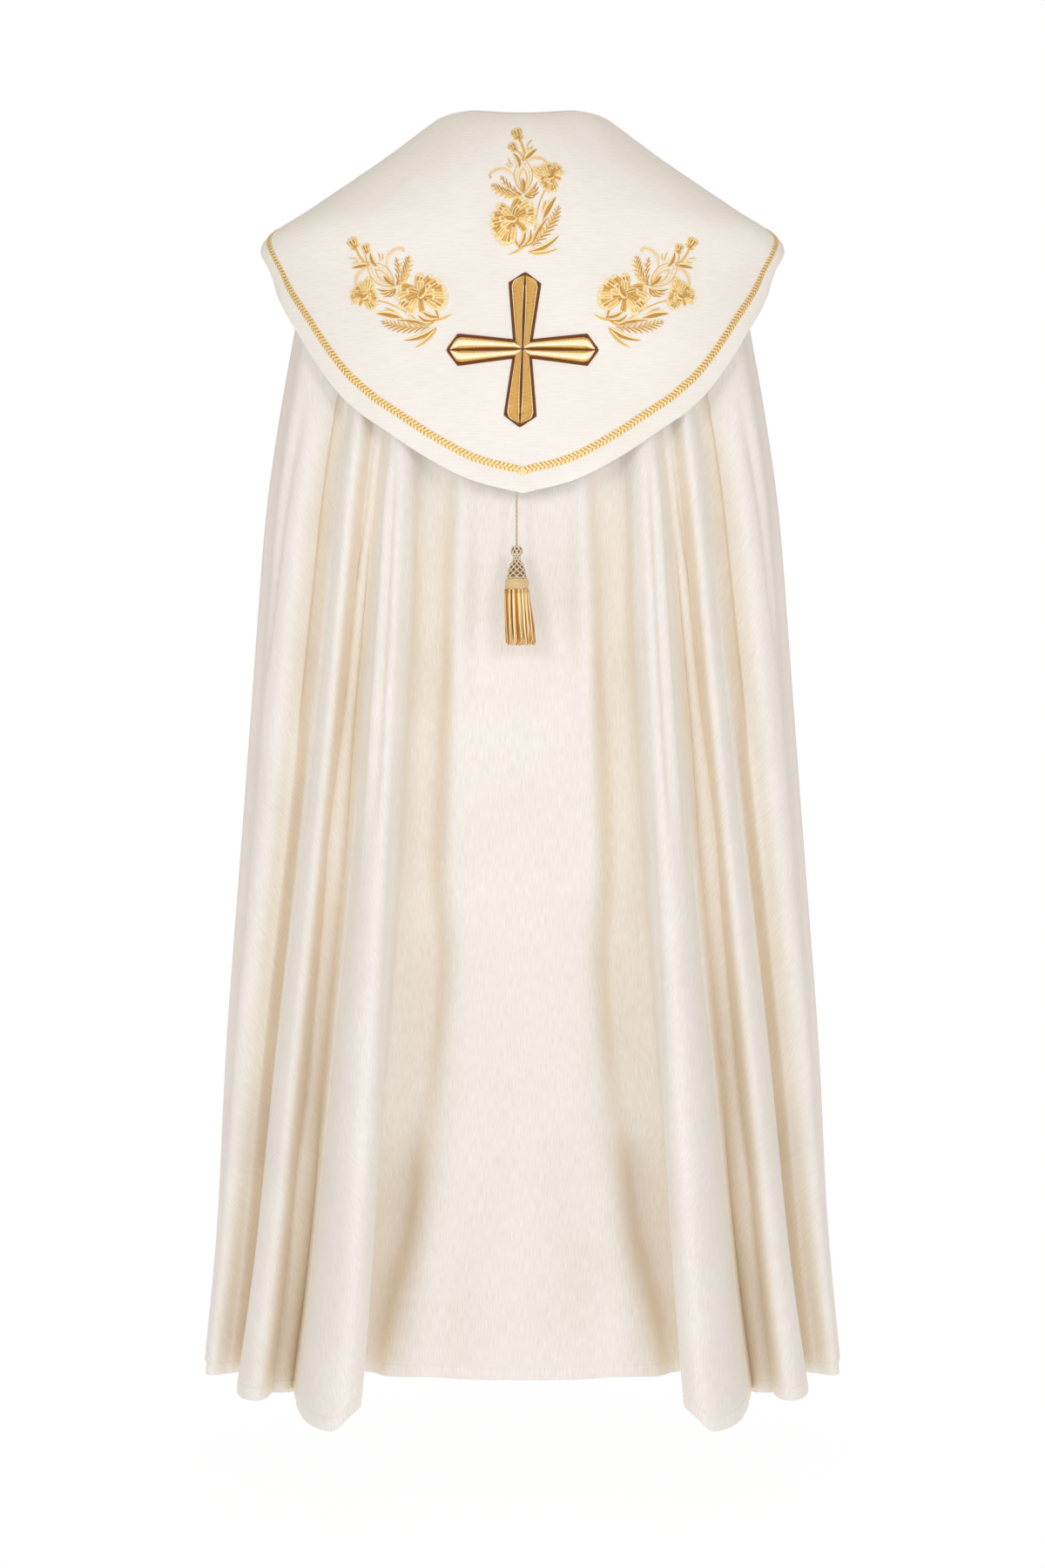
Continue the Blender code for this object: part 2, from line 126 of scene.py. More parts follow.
HOOD_EDGE = (
    EdgePoint(0.0, 0.4430),
    EdgePoint(10.9, 0.4275),
    EdgePoint(20.0, 0.4030),
    EdgePoint(30.0, 0.3700),
    EdgePoint(35.6, 0.3520),
    EdgePoint(41.6, 0.3277),
    EdgePoint(48.3, 0.2947),
    EdgePoint(56.2, 0.2539),
    EdgePoint(66.8, 0.2075),
    EdgePoint(75.0, 0.1650),
    EdgePoint(90.0, 0.1370),
    EdgePoint(120.0, 0.1050),
    EdgePoint(150.0, 0.0600),
    EdgePoint(164.0, 0.0400),
)
Fold = namedtuple("Fold", "name at_top at_hem depths lean")
FOLDS = (
    Fold("back_ridge", (6, 9, 12, 15), (5, 11, 19, 27), (0.006, 0.006), 0),
    Fold("back_fold", (18.5, 26.6, 30.0, 31.2), (30.6, 32.6, 42.6, 43.6), (0.012, 0.224), -33),
    Fold("back_recess", (31.8, 32.3, 32.8, 33.4), (44.2, 45, 46.4, 47.4), (0.0, 0.016), 0),
    Fold("arm_back_fold", (34.2, 38.6, 41.2, 41.6), (48.2, 50.8, 58.2, 59.8), (0.021, 0.112), -42),
    Fold("arm_recess", (42.6, 43.4, 44.8, 46.4), (60.2, 60.8, 62.4, 64.2), (-0.010, -0.030), -15),
    Fold("arm_fold", (47, 57, 63, 71), (65.0, 66.2, 70.0, 76), (0.018, 0.026), -20),
    Fold("side_swell", (76, 81, 88, 94), (81, 85, 92, 97), (0.0, 0.002), 0),
    Fold("front_arm_fold", (101, 106, 110, 114), (107, 109, 116, 119), (0.012, 0.060), 50),
    Fold("front_fold", (122, 127, 132, 136), (125, 128, 137, 140), (0.012, 0.100), 25),
    Fold("front_edge_fold", (145, 149, 154, 158), (147, 150, 159, 162), (0.008, 0.085), 8),
)

# Creases on the folds, as soft ridges, or troughs where height is negative. Each runs from one drop to
# another, and from one place round the cloth to another, counted in the folds' handles from the middle of
# the back: 4 a fold.
Crease = namedtuple("Crease", "at_start at_end start end height width")
CREASES = (
    Crease(0.9, 3.0, 0.72, 1.24, -0.0035, 0.018),
    Crease(0.4, 2.6, 0.90, 1.43, -0.0110, 0.040),
    Crease(1.9, 1.7, 0.40, 0.72, -0.0050, 0.014),
    Crease(2.9, 2.6, 0.34, 0.95, 0.0040, 0.012),
    Crease(5.3, 4.0, 0.34, 0.72, -0.0110, 0.015),
    Crease(4.2, 3.3, 0.56, 1.16, -0.0150, 0.020),
    Crease(3.1, 3.8, 0.84, 1.38, -0.0200, 0.028),
    Crease(3.7, 4.5, 1.14, 1.43, -0.0200, 0.018),
    Crease(4.6, 4.2, 0.50, 1.22, 0.0050, 0.010),
    Crease(4.3, 3.6, 0.36, 0.70, -0.0080, 0.014),
    Crease(5.9, 5.7, 0.72, 1.43, -0.0036, 0.009),
    Crease(6.28, 6.3, 0.36, 0.86, 0.0024, 0.007),
    Crease(6.66, 6.66, 0.38, 0.84, -0.0034, 0.0045),
    Crease(7.0, 6.95, 0.33, 0.90, 0.0028, 0.006),
    Crease(11.0, 11.2, 0.44, 0.92, 0.0050, 0.011),
    Crease(11.4, 11.6, 0.64, 1.43, 0.0150, 0.018),
    Crease(11.3, 11.5, 1.08, 1.60, 0.0210, 0.018),
    Crease(7.5, 7.7, 0.72, 1.43, -0.0060, 0.006),
    Crease(8.8, 8.8, 0.72, 1.43, 0.0060, 0.008),
    Crease(14.4, 14.4, 0.36, 1.30, 0.0024, 0.007),
    Crease(15.9, 15.6, 0.40, 1.30, -0.0030, 0.007),
    Crease(19.6, 19.4, 0.28, 0.74, -0.0080, 0.011),
    Crease(21.6, 21.7, 0.28, 1.10, 0.0066, 0.013),
    Crease(22.1, 23.3, 0.30, 0.66, -0.0060, 0.009),
    Crease(23.6, 23.4, 0.62, 1.30, -0.0040, 0.012),
    Crease(26.0, 25.6, 0.30, 1.30, 0.0030, 0.012),
    Crease(28.4, 28.6, 0.40, 1.43, -0.0030, 0.014),
    Crease(31.4, 31.0, 0.30, 1.10, 0.0028, 0.010),
    Crease(35.6, 35.4, 0.34, 1.30, -0.0030, 0.010),
    Crease(38.2, 38.6, 0.30, 0.95, 0.0026, 0.009),
    Crease(41.2, 41.4, 0.40, 1.20, 0.0020, 0.012),
)
# A crease fades in and out over this share of its length, but not out where it reaches the hem.
CREASE_FADES = 0.25
REACHES_HEM = 1.42
MANTLE_ROWS = 100
FINE_HANDLES = 24
MANTLE_STEP = {"fine": 0.0075, "coarse": 0.016}
LEAST_STEPS = {"fine": 6, "coarse": 3}
MANTLE_ROWS_CROWD = 1.25
HOOD_MEAN_RADIUS = 0.28
HOOD_COLUMNS = 130
LEAST_STEP_SHARE = 0.25
HOOD_NECK_ROWS = 46
HOOD_NECK_ROWS_CROWD = 1.2
HOOD_BAND_ROWS = 12
HOOD_PADDING = 0.0009


def curve_through(rows, column, at, key="drop"):
    """A column of a table at places between its rows, along a smooth curve through them."""
    keys = np.array([getattr(row, key) for row in rows], float)
    values = np.array([getattr(row, column) for row in rows], float)
    last = len(rows) - 1
    at = np.clip(np.asarray(at, float), keys[0], keys[last])
    i = np.clip(np.searchsorted(keys, at, side="right") - 1, 0, last - 1)
    before, after = np.maximum(np.arange(last + 1) - 1, 0), np.minimum(np.arange(last + 1) + 1, last)
    slopes = (values[after] - values[before]) / (keys[after] - keys[before])
    step = keys[i + 1] - keys[i]
    t = (at - keys[i]) / step
    return (
        (2 * t**3 - 3 * t**2 + 1) * values[i]
        + (t**3 - 2 * t**2 + t) * step * slopes[i]
        + (3 * t**2 - 2 * t**3) * values[i + 1]
        + (t**3 - t**2) * step * slopes[i + 1]
    )


def section_at(rows, drop):
    return Section(drop, *(curve_through(rows, name, drop) for name in Section._fields[1:]))


def smooth_step(value):
    value = np.clip(value, 0.0, 1.0)
    return value * value * (3 - 2 * value)


def plan_point(section, degrees, out=0.0, turn=0.0):
    """(x, y) of places on a section, moved out along its normal, which may be turned to the front."""
    top, hem = FRONT_EDGE_X
    edge_x = top + (hem - top) * smooth_step(section.drop / HEM_DROP)
    edge = math.pi - np.arcsin(edge_x / section.half_width)
    forward = math.pi / 2 + (edge - math.pi / 2) * (degrees - 90) / 90
    angle = np.where(degrees <= 90, np.radians(degrees), forward)
    depth = np.where(angle < math.pi / 2, section.back, section.front)
    x, y = section.half_width * np.sin(angle), section.centre - depth * np.cos(angle)
    towards = np.arctan2(-np.cos(angle) / depth, np.sin(angle) / section.half_width) + turn
    return x + out * np.cos(towards), y + out * np.sin(towards)


def height(section, x, y):
    """Heights of plan places: the neckline rises at the sides and dips in front, the hem rises behind."""
    angle = np.arctan2(x, section.centre - y)
    near_neck = 1 - smooth_step(section.drop / NECK_FORM_ENDS)
    z = -section.drop + NECK_SIDE_RISE * near_neck * np.sin(np.minimum(angle, math.pi / 2)) ** 2
    forward = smooth_step((np.degrees(angle) - 80) / 90)
    fades = 1 - smooth_step(section.drop / FRONT_DIP_ENDS)
    z = z - (NECK_FRONT_DIP + NECK_SIDE_RISE * near_neck) * forward * fades
    behind = 1 - smooth_step((np.abs(x) - BACK_PANEL_HALF) / BACK_RISE_FADES)
    rise = BACK_HEM_RISE * behind * (section.drop / HEM_DROP) ** 2
    return z + np.where(y < section.centre, rise, 0.0)


def mantle_handles(drop):
    """The handles of one level of the mantle's half on +X, with one more past each end."""
    section = section_at(MANTLE_SECTIONS, drop)
    down = max(0.0, (drop - FOLDS_RISEN) / (HEM_DROP - FOLDS_RISEN))
    risen = smooth_step((drop - FOLDS_START) / (FOLDS_RISEN - FOLDS_START))
    angles, outs, turns = [0.0], [0.0], [0.0]
    for fold in FOLDS:
        top, hem = fold.depths
        depth = risen * (top + (hem - top) * down**FLARE_POWER)
        angles += [at + (to - at) * down for at, to in zip(fold.at_top, fold.at_hem)]
        outs += [0.0, depth, depth, 0.0]
        turns += [math.radians(fold.lean)] * 4
    angles += [171.0, 180.0]
    outs += [0.0, 0.0]
    turns += [0.0, 0.0]
    x, y = plan_point(section, np.array(angles), np.array(outs), np.array(turns))
    points = np.stack([x, y], axis=1)
    return np.vstack([points[1] * (-1, 1), points, 2 * points[-1] - points[-2]])


def spline_weights(places):
    """Weights of the padded handles at places counted in handles, on a uniform cubic B-spline."""
    count = 4 * len(FOLDS) + 5
    table = np.zeros((len(places), count))
    i = np.minimum(places.astype(int), count - 4)
    t = places - i
    columns = (
        (1 - t) ** 3,
        3 * t**3 - 6 * t**2 + 4,
        -3 * t**3 + 3 * t**2 + 3 * t + 1,
        t**3,
    )
    for k, column in enumerate(columns):
        table[np.arange(len(places)), i + k] = column / 6
    return table


def mantle_points(places, drops):
    """Points of the mantle's half on +X: a row for each drop, a column for each place."""
    weights = spline_weights(places)
    rows = []
    for drop in drops:
        section = section_at(MANTLE_SECTIONS, drop)
        x, y = (weights @ mantle_handles(drop)).T
        rows.append(np.stack([x, y, height(section, x, y)], axis=1))
    return np.array(rows)


def grid_normals(points):
    """Outward normals of a grid whose rows go down and whose columns go round towards +X."""
    down = np.gradient(points, axis=0)
    around = np.gradient(points, axis=1)
    normals = np.cross(down, around)
    return normals / np.linalg.norm(normals, axis=2, keepdims=True)


def mirrored(half):
    """The whole grid from its half on +X. The first number at each point changes its sign."""
    signs = np.ones(half.shape[-1])
    signs[0] = -1
    return np.concatenate([half[:, :0:-1] * signs, half], axis=1)


def hood_point(angle, drop):
    section = section_at(HOOD_SECTIONS, drop)
    x, y = plan_point(section, angle)
    return np.stack([x, y, height(section, x, y)], axis=-1)


def hood_normal(angle, drop):
    near, step = 0.5, 0.001
    around = hood_point(angle + near, drop) - hood_point(np.maximum(0, angle - near), drop)
    down = hood_point(angle, drop + step) - hood_point(angle, np.maximum(0, drop - step))
    normal = np.cross(down, around)
    return normal / np.linalg.norm(normal, axis=-1, keepdims=True)


def hood_edge_drop(angle):
    return curve_through(HOOD_EDGE, "drop", angle, key="angle")


def hood_edge_step(angle, distance):
    """(angle, drop) of the places that lie this far from the hood's edge, square to it."""
    near = 0.5
    drop = hood_edge_drop(angle)
    back = np.maximum(0, angle - near)
    along = hood_point(angle + near, hood_edge_drop(angle + near)) - hood_point(back, hood_edge_drop(back))
    along[..., 2] = np.where(angle == 0, 0.0, along[..., 2])
    inward = np.cross(hood_normal(angle, drop), along)
    inward /= np.linalg.norm(inward, axis=-1, keepdims=True)
    round_step = (hood_point(angle + near, drop) - hood_point(angle, drop)) / near
    down_step = (hood_point(angle, drop) - hood_point(angle, drop - 0.001)) / 0.001
    turn = (inward * round_step).sum(-1) / (round_step**2).sum(-1)
    fall = (inward * down_step).sum(-1) / (down_step**2).sum(-1)
    return angle + turn * distance, drop + fall * distance


def hood_back(x, z, out):
    """Points of the hood's back at places seen from behind, moved out from it."""
    section = section_at(HOOD_SECTIONS, -z)
    sine = np.clip(np.abs(x) / section.half_width, 0, 0.999)
    angle = np.degrees(np.arcsin(sine))
    normal = hood_normal(angle, -z)
    normal[..., 0] *= np.where(x < 0, -1, 1)
    y = section.centre - section.back * np.sqrt(1 - sine**2)
    return np.stack([x, y, z], axis=-1) + normal * np.asarray(out)[..., None]


def grid_faces(rows, columns, start=0):
    """Quads of a grid whose points run along its rows."""
    r, c = np.meshgrid(np.arange(rows - 1), np.arange(columns - 1), indexing="ij")
    first = (start + r * columns + c).ravel()
    return np.stack([first, first + columns, first + columns + 1, first + 1], axis=1)


def make_object(name, points, faces, uvs=None, materials=(), face_materials=None):
    mesh = bpy.data.meshes.new(name)
    mesh.from_pydata(np.asarray(points).tolist(), [], [list(map(int, face)) for face in faces])
    if uvs is not None:
        corners = np.empty(len(mesh.loops), np.int32)
        mesh.loops.foreach_get("vertex_index", corners)
        uvs = np.asarray(uvs, np.float32)
        for k, layer_name in enumerate(("UVMap", "Edges")[: uvs.shape[1] // 2]):
            layer = mesh.uv_layers.new(name=layer_name)
            layer.data.foreach_set("uv", uvs[corners, 2 * k : 2 * k + 2].ravel())
    for material in materials:
        mesh.materials.append(material)
    if face_materials is not None:
        mesh.polygons.foreach_set("material_index", np.asarray(face_materials, np.int32))
    mesh.shade_smooth()
    mesh.update()
    obj = bpy.data.objects.new(name, mesh)
    bpy.context.scene.collection.objects.link(obj)
    return obj


def dressed(obj, node):
    """Puts a piece on the root body, in its node's place if it has one."""
    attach(obj, "root")
    if node is not None:
        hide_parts(node)
    return obj


def shell(name, outer, normals, wall, uvs, material, rim=4):
    """A closed shell: the outer grid, a round lower rim, the inner grid, and flat ends."""
    rows, columns = outer.shape[:2]
    inner = outer - normals * wall
    middle = (outer[-1] + inner[-1]) / 2
    down = outer[-1] - outer[-2]
    down -= (down * normals[-1]).sum(-1, keepdims=True) * normals[-1]
    down /= np.linalg.norm(down, axis=-1, keepdims=True)
    turns = math.pi * np.arange(1, rim)[:, None, None] / rim
    round_rim = middle + wall / 2 * (np.cos(turns) * normals[-1] + np.sin(turns) * down)
    layers = np.concatenate([outer, round_rim, inner[::-1]])
    layer_uvs = np.concatenate([uvs, np.repeat(uvs[-1:], rim - 1, axis=0), uvs[::-1]])
    total = len(layers)
    faces = [*grid_faces(total, columns)]
    last = (total - 1) * columns
    faces += [(last + c, c, c + 1, last + c + 1) for c in range(columns - 1)]
    for side in (0, columns - 1):
        for r in range(rows - 1):
            quad = [r, r + 1, total - 2 - r, total - 1 - r]
            quad = [k * columns + side for k in quad]
            faces.append(quad[::-1] if side == 0 else quad)
        end = [k * columns + side for k in range(rows - 1, total - rows + 1)]
        faces.append(end[::-1] if side == 0 else end)
    layer_uvs = layer_uvs.reshape(total * columns, -1)
    return make_object(name, layers.reshape(-1, 3), faces, layer_uvs, [material])


# Materials.


def linear(red, green, blue):
    """A colour in linear light from its usual 0 to 255 values."""
    values = [value / 255 for value in (red, green, blue)]
    return tuple(v / 12.92 if v <= 0.04045 else ((v + 0.055) / 1.055) ** 2.4 for v in values)


class Shader:
    """A material with a Principled shader, and short ways to add nodes to it."""

    def __init__(self, name, colour, roughness, **sockets):
        self.material = bpy.data.materials.new(name)
        self.material.use_nodes = True
        self.tree = self.material.node_tree
        self.principled = self.tree.nodes["Principled BSDF"]
        self.set("Base Color", (*colour, 1.0))
        self.set("Roughness", roughness)
        for socket, value in sockets.items():
            self.set(socket.replace("_", " "), value)

    def set(self, socket, value):
        self.principled.inputs[socket].default_value = value

    def node(self, kind, **settings):
        made = self.tree.nodes.new(kind)
        for name, value in settings.items():
            setattr(made, name, value)
        return made

    def link(self, output, target):
        self.tree.links.new(output, target)

    def noise(self, scale, detail=2.0, roughness=0.5):
        """Noise with so many features to the metre along U and along V of the UV map."""
        uv = self.node("ShaderNodeUVMap", uv_map="UVMap")
        mapping = self.node("ShaderNodeMapping")
        mapping.inputs["Scale"].default_value = (*scale, 1.0)
        self.link(uv.outputs["UV"], mapping.inputs["Vector"])
        texture = self.node("ShaderNodeTexNoise")
        texture.inputs["Scale"].default_value = 1.0
        texture.inputs["Detail"].default_value = detail
        texture.inputs["Roughness"].default_value = roughness
        self.link(mapping.outputs["Vector"], texture.inputs["Vector"])
        return texture.outputs["Fac"]

    def ramp(self, value, *stops):
        """Colours or numbers along a value, from (position, colour) stops."""
        ramp = self.node("ShaderNodeValToRGB")
        elements = ramp.color_ramp.elements
        while len(elements) < len(stops):
            elements.new(0.5)
        for element, (position, colour) in zip(elements, stops):
            element.position = position
            element.color = (*colour, 1.0)
        self.link(value, ramp.inputs["Fac"])
        return ramp.outputs["Color"]

    def multiplied(self, first, second):
        """One colour times another."""
        mix = self.node("ShaderNodeMix", data_type="RGBA", blend_type="MULTIPLY")
        mix.inputs[0].default_value = 1.0
        self.link(first, mix.inputs[6])
        self.link(second, mix.inputs[7])
        return mix.outputs[2]

    def maths(self, operation, first, second=0.0, clamp=False):
        maths = self.node("ShaderNodeMath", operation=operation, use_clamp=clamp)
        for socket, value in zip(maths.inputs, (first, second)):
            if isinstance(value, bpy.types.NodeSocket):
                self.link(value, socket)
            else:
                socket.default_value = value
        return maths.outputs[0]

    def bump(self, value, distance):
        bump = self.node("ShaderNodeBump")
        bump.inputs["Distance"].default_value = distance
        self.link(value, bump.inputs["Height"])
        self.link(bump.outputs["Normal"], self.principled.inputs["Normal"])


def satin(name, light, dark, slub_scale, hemmed=False):
    """Slubbed satin: fine uneven threads along one way of the cloth, cloudy, and with painted warm shade in
    its hollows.
    """
    shader = Shader(name, light, 0.46, Sheen_Weight=0.12, Sheen_Roughness=0.4, Specular_IOR_Level=0.42)
    threads = shader.noise(slub_scale, detail=3.0, roughness=0.62)
    clouds = shader.noise((9.0, 9.0), detail=2.0)
    colour = shader.ramp(threads, (0.30, dark), (0.62, light))
    tint = shader.ramp(clouds, (0.30, (0.965, 0.957, 0.945)), (0.70, (1.0, 1.0, 1.0)))
    colour = shader.multiplied(colour, tint)
    # Painted shade: the colour turns a warmer, darker ivory where ambient occlusion finds the cloth hollow.
    painted_shade_mask = shader.node("ShaderNodeAmbientOcclusion", samples=4, only_local=True)
    painted_shade_mask.inputs["Distance"].default_value = PAINTED_SHADE_REACH
    painted_warm_shade = shader.ramp(painted_shade_mask.outputs["AO"], (0.25, PAINTED_HOLLOW_SHADE), (0.85, (1.0, 1.0, 1.0)))
    colour = shader.multiplied(colour, painted_warm_shade)
    shader.link(colour, shader.principled.inputs["Base Color"])
    roughness = shader.node("ShaderNodeMapRange")
    roughness.inputs["To Min"].default_value = 0.38
    roughness.inputs["To Max"].default_value = 0.56
    shader.link(threads, roughness.inputs["Value"])
    shader.link(roughness.outputs["Result"], shader.principled.inputs["Roughness"])
    weave = shader.noise((slub_scale[0] * 2.4 + 300, slub_scale[1] * 2.4 + 300), detail=1.0)
    relief = shader.maths("ADD", threads, shader.maths("MULTIPLY", weave, 0.35))
    if hemmed:
        relief = shader.maths("ADD", relief, hem_step(shader))
    shader.bump(relief, 0.00035)
    return shader.material


def hem_step(shader):
    """The stitched hem: a narrow band beside the round edge and front edges, with a dent at its seam."""
    hem_width, seam_width, seam_depth = 0.014, 0.0020, 1.2
    uv = shader.node("ShaderNodeUVMap", uv_map="Edges")
    apart = shader.node("ShaderNodeSeparateXYZ")
    shader.link(uv.outputs["UV"], apart.inputs[0])
    total = None
    for edge in ("X", "Y"):
        inset = shader.maths("SUBTRACT", apart.outputs[edge], hem_width)
        near = shader.maths("DIVIDE", shader.maths("ABSOLUTE", inset), seam_width)
        dent = shader.maths("MULTIPLY", shader.maths("SUBTRACT", 1.0, near, clamp=True), -seam_depth)
        total = dent if total is None else shader.maths("ADD", total, dent)
    return total


def gold_thread(name, light, dark, roughness=0.36, metallic=0.35, specular=0.5):
    """Satin stitch: fine threads along V, each catching the light a little differently."""
    shader = Shader(name, light, roughness, Metallic=metallic, Specular_IOR_Level=specular)
    threads = shader.noise((2600.0, 60.0), detail=1.0)
    colour = shader.ramp(threads, (0.34, dark), (0.60, light))
    shader.link(colour, shader.principled.inputs["Base Color"])
    shader.bump(threads, 0.0003)
    return shader.material


def speckled(name, light, dark):
    """Gold thread worked so small that it only shows as specks."""
    shader = Shader(name, light, 0.42, Metallic=0.2)
    specks = shader.node("ShaderNodeTexNoise")
    specks.inputs["Scale"].default_value = SPECKS
    colour = shader.ramp(specks.outputs["Fac"], (0.42, dark), (0.58, light))
    shader.link(colour, shader.principled.inputs["Base Color"])
    shader.bump(specks.outputs["Fac"], 0.0005)
    return shader.material


# How far the satin looks round for hollows to paint shade into.
PAINTED_SHADE_REACH = 0.07
SPECKS = 60.0
# Painted shade: the warm, darker tint laid on the satin in its hollows.
PAINTED_HOLLOW_SHADE = linear(255, 248, 232)
IVORY_LIGHT, IVORY_DARK = linear(246, 241, 235), linear(234, 226, 218)
HOOD_LIGHT, HOOD_DARK = linear(246, 242, 236), linear(240, 234, 226)
mantle_satin = satin("mantle_satin", IVORY_LIGHT, IVORY_DARK, (900.0, 60.0), hemmed=True)
hood_satin = satin("hood_satin", HOOD_LIGHT, HOOD_DARK, (44.0, 700.0))
# Three tones of one gold thread. Where the braid, embroidery and cross lay the light and deep ones on
# raised and sunken stitches, they are partly painted highlight and painted shade.
gold_light = gold_thread("gold_light", linear(255, 240, 196), linear(250, 220, 156))
gold_mid = gold_thread("gold_mid", linear(244, 206, 132), linear(226, 178, 94))
gold_deep = gold_thread("gold_deep", linear(216, 164, 78), linear(190, 134, 52))
cross_deep = gold_thread("cross_deep", linear(224, 178, 94), linear(192, 140, 62))
cross_mid = gold_thread("cross_mid", linear(234, 190, 112), linear(210, 160, 78))
cross_light = gold_thread("cross_light", linear(255, 248, 218), linear(250, 230, 176))
brown_thread = gold_thread("brown_thread", linear(126, 72, 36), linear(98, 52, 24), 0.6, 0.0, 0.12)
GOLDS = [gold_light, gold_mid, gold_deep]
# The fringe's golds, laid on its locks as painted highlight and painted shade.
STRAND_GOLDS = [
    gold_thread("strand_light", linear(255, 240, 190), linear(255, 240, 190), 0.28, 0.2),
    gold_thread("strand_mid", linear(248, 202, 122), linear(248, 202, 122), 0.28, 0.2),
    gold_thread("strand_deep", linear(206, 132, 52), linear(206, 132, 52), 0.34, 0.2),
]
band_thread = speckled("band_thread", linear(255, 236, 192), linear(216, 176, 112))
pale_cord = speckled("pale_cord", linear(255, 248, 230), linear(234, 214, 178))
tassel_core = Shader("tassel_core", linear(152, 108, 68), 0.7).material
LIGHT, MID, DEEP = range(3)
# Golds of a petal's body, ribs and foot: the deep foot is painted shade, light ribs are painted highlight,
# and each petal's body tone stands in for its stitches' sheen, as painted light.
PETAL_TONES = {
    "light": (MID, LIGHT, DEEP),
    "mid": (DEEP, LIGHT, DEEP),
    "dark": (DEEP, MID, DEEP),
}


# The mantle.


def mantle_places():
    """Places round the cloth, close enough together for smooth flanks at the hem, and closest behind."""
    count = 4 * len(FOLDS) + 2
    rough = np.linspace(0, count, count * 20 + 1)
    hem = mantle_points(rough, [HEM_DROP])[0]
    lengths = np.linalg.norm(np.diff(hem, axis=0), axis=1).reshape(count, 20).sum(1)
    places = []
    for k, length in enumerate(lengths):
        grade = "fine" if k < FINE_HANDLES else "coarse"
        steps = max(LEAST_STEPS[grade], math.ceil(length / MANTLE_STEP[grade]))
        places += [k + step / steps for step in range(steps)]
    return np.array([*places, count], float)


def add_creases(points, normals, places, drops):
    """Moves the cloth out or in along each crease, which fades in and out along its length."""
    steps = np.linalg.norm(np.diff(points, axis=1), axis=2)
    lengths = np.concatenate([np.zeros((len(points), 1)), np.cumsum(steps, axis=1)], axis=1)
    moves = np.zeros(points.shape[:2])
    for crease in CREASES:
        run = (drops - crease.start) / (crease.end - crease.start)
        at = crease.at_start + (crease.at_end - crease.at_start) * run
        fade = smooth_step(run / CREASE_FADES) * (run < 1.01)
        if crease.end < REACHES_HEM:
            fade *= smooth_step((1 - run) / CREASE_FADES)
        for r in np.flatnonzero(fade > 0):
            middle = np.interp(at[r], places, lengths[r])
            moves[r] += crease.height * fade[r] * np.exp(-(((lengths[r] - middle) / crease.width) ** 2))
    return points + normals * moves[..., None]


def flat_cut(points):
    """Along the cloth, for each point: places across and down, and how far the front edge and hem are."""
    across = np.cumsum(np.linalg.norm(np.diff(points, axis=1, prepend=points[:, :1]), axis=2), axis=1)
    down = np.cumsum(np.linalg.norm(np.diff(points, axis=0, prepend=points[:1]), axis=2), axis=0)
    down *= CUT_RADIUS / down[-1]
    return np.stack([across, -down, across[:, -1:] - across, down[-1] - down], axis=-1)


def make_mantle():
    places = mantle_places()
    top = MANTLE_SECTIONS[0].drop
    drops = top + (HEM_DROP - top) * np.linspace(0, 1, MANTLE_ROWS) ** MANTLE_ROWS_CROWD
    half = mantle_points(places, drops)
    half = add_creases(half, grid_normals(half), places, drops)
    half[:, 0, 0] = 0.0
    uvs = mirrored(flat_cut(half))
    outer = mirrored(half)
    obj = shell("mantle_cloth", outer, grid_normals(outer), MANTLE_WALL, uvs, mantle_satin, rim=3)
    return dressed(obj, "mantle")


# The hood and its braid.


def in_order(angle):
    """Angles along a row, each at least a small step past the one before, so that no two columns cross."""
    least = np.arange(len(angle)) * LEAST_STEP_SHARE * (angle[-1] - angle[0]) / len(angle)
    return np.maximum.accumulate(angle - least) + least


def make_hood():
    angles = np.linspace(0, HOOD_EDGE[-1].angle, HOOD_COLUMNS)
    band = GALLOON_INSET + GALLOON_WIDTH / 2
    rows, bulges = [], []
    inner_angle, inner_drop = hood_edge_step(angles, band)
    inner_angle = in_order(inner_angle)
    for r in range(HOOD_NECK_ROWS):
        share = (r / HOOD_NECK_ROWS) ** HOOD_NECK_ROWS_CROWD
        rows.append((angles + (inner_angle - angles) * share, inner_drop * share))
        bulges.append(0.0)
    for r in range(HOOD_BAND_ROWS + 1):
        distance = band * (1 - r / HOOD_BAND_ROWS)
        angle, drop = hood_edge_step(angles, distance)
        rows.append((in_order(angle), drop))
        inside = min(1.0, distance / (GALLOON_INSET - GALLOON_WIDTH / 2))
        bulges.append(HOOD_PADDING * math.sin(math.pi * inside))
    half = []
    for (angle, drop), bulge in zip(rows, bulges):
        half.append(hood_point(angle, drop) + hood_normal(angle, drop) * bulge)
    half = np.array(half)
    half[:, 0, 0] = 0.0
    across = np.array([np.radians(angle) * HOOD_MEAN_RADIUS for angle, _ in rows])
    down = np.array([-drop for _, drop in rows])
    uvs = mirrored(np.stack([across, down], axis=-1))
    outer = mirrored(half)
    obj = shell("hood_cloth", outer, grid_normals(outer), HOOD_WALL, uvs, hood_satin, rim=6)
    return dressed(obj, "hood")


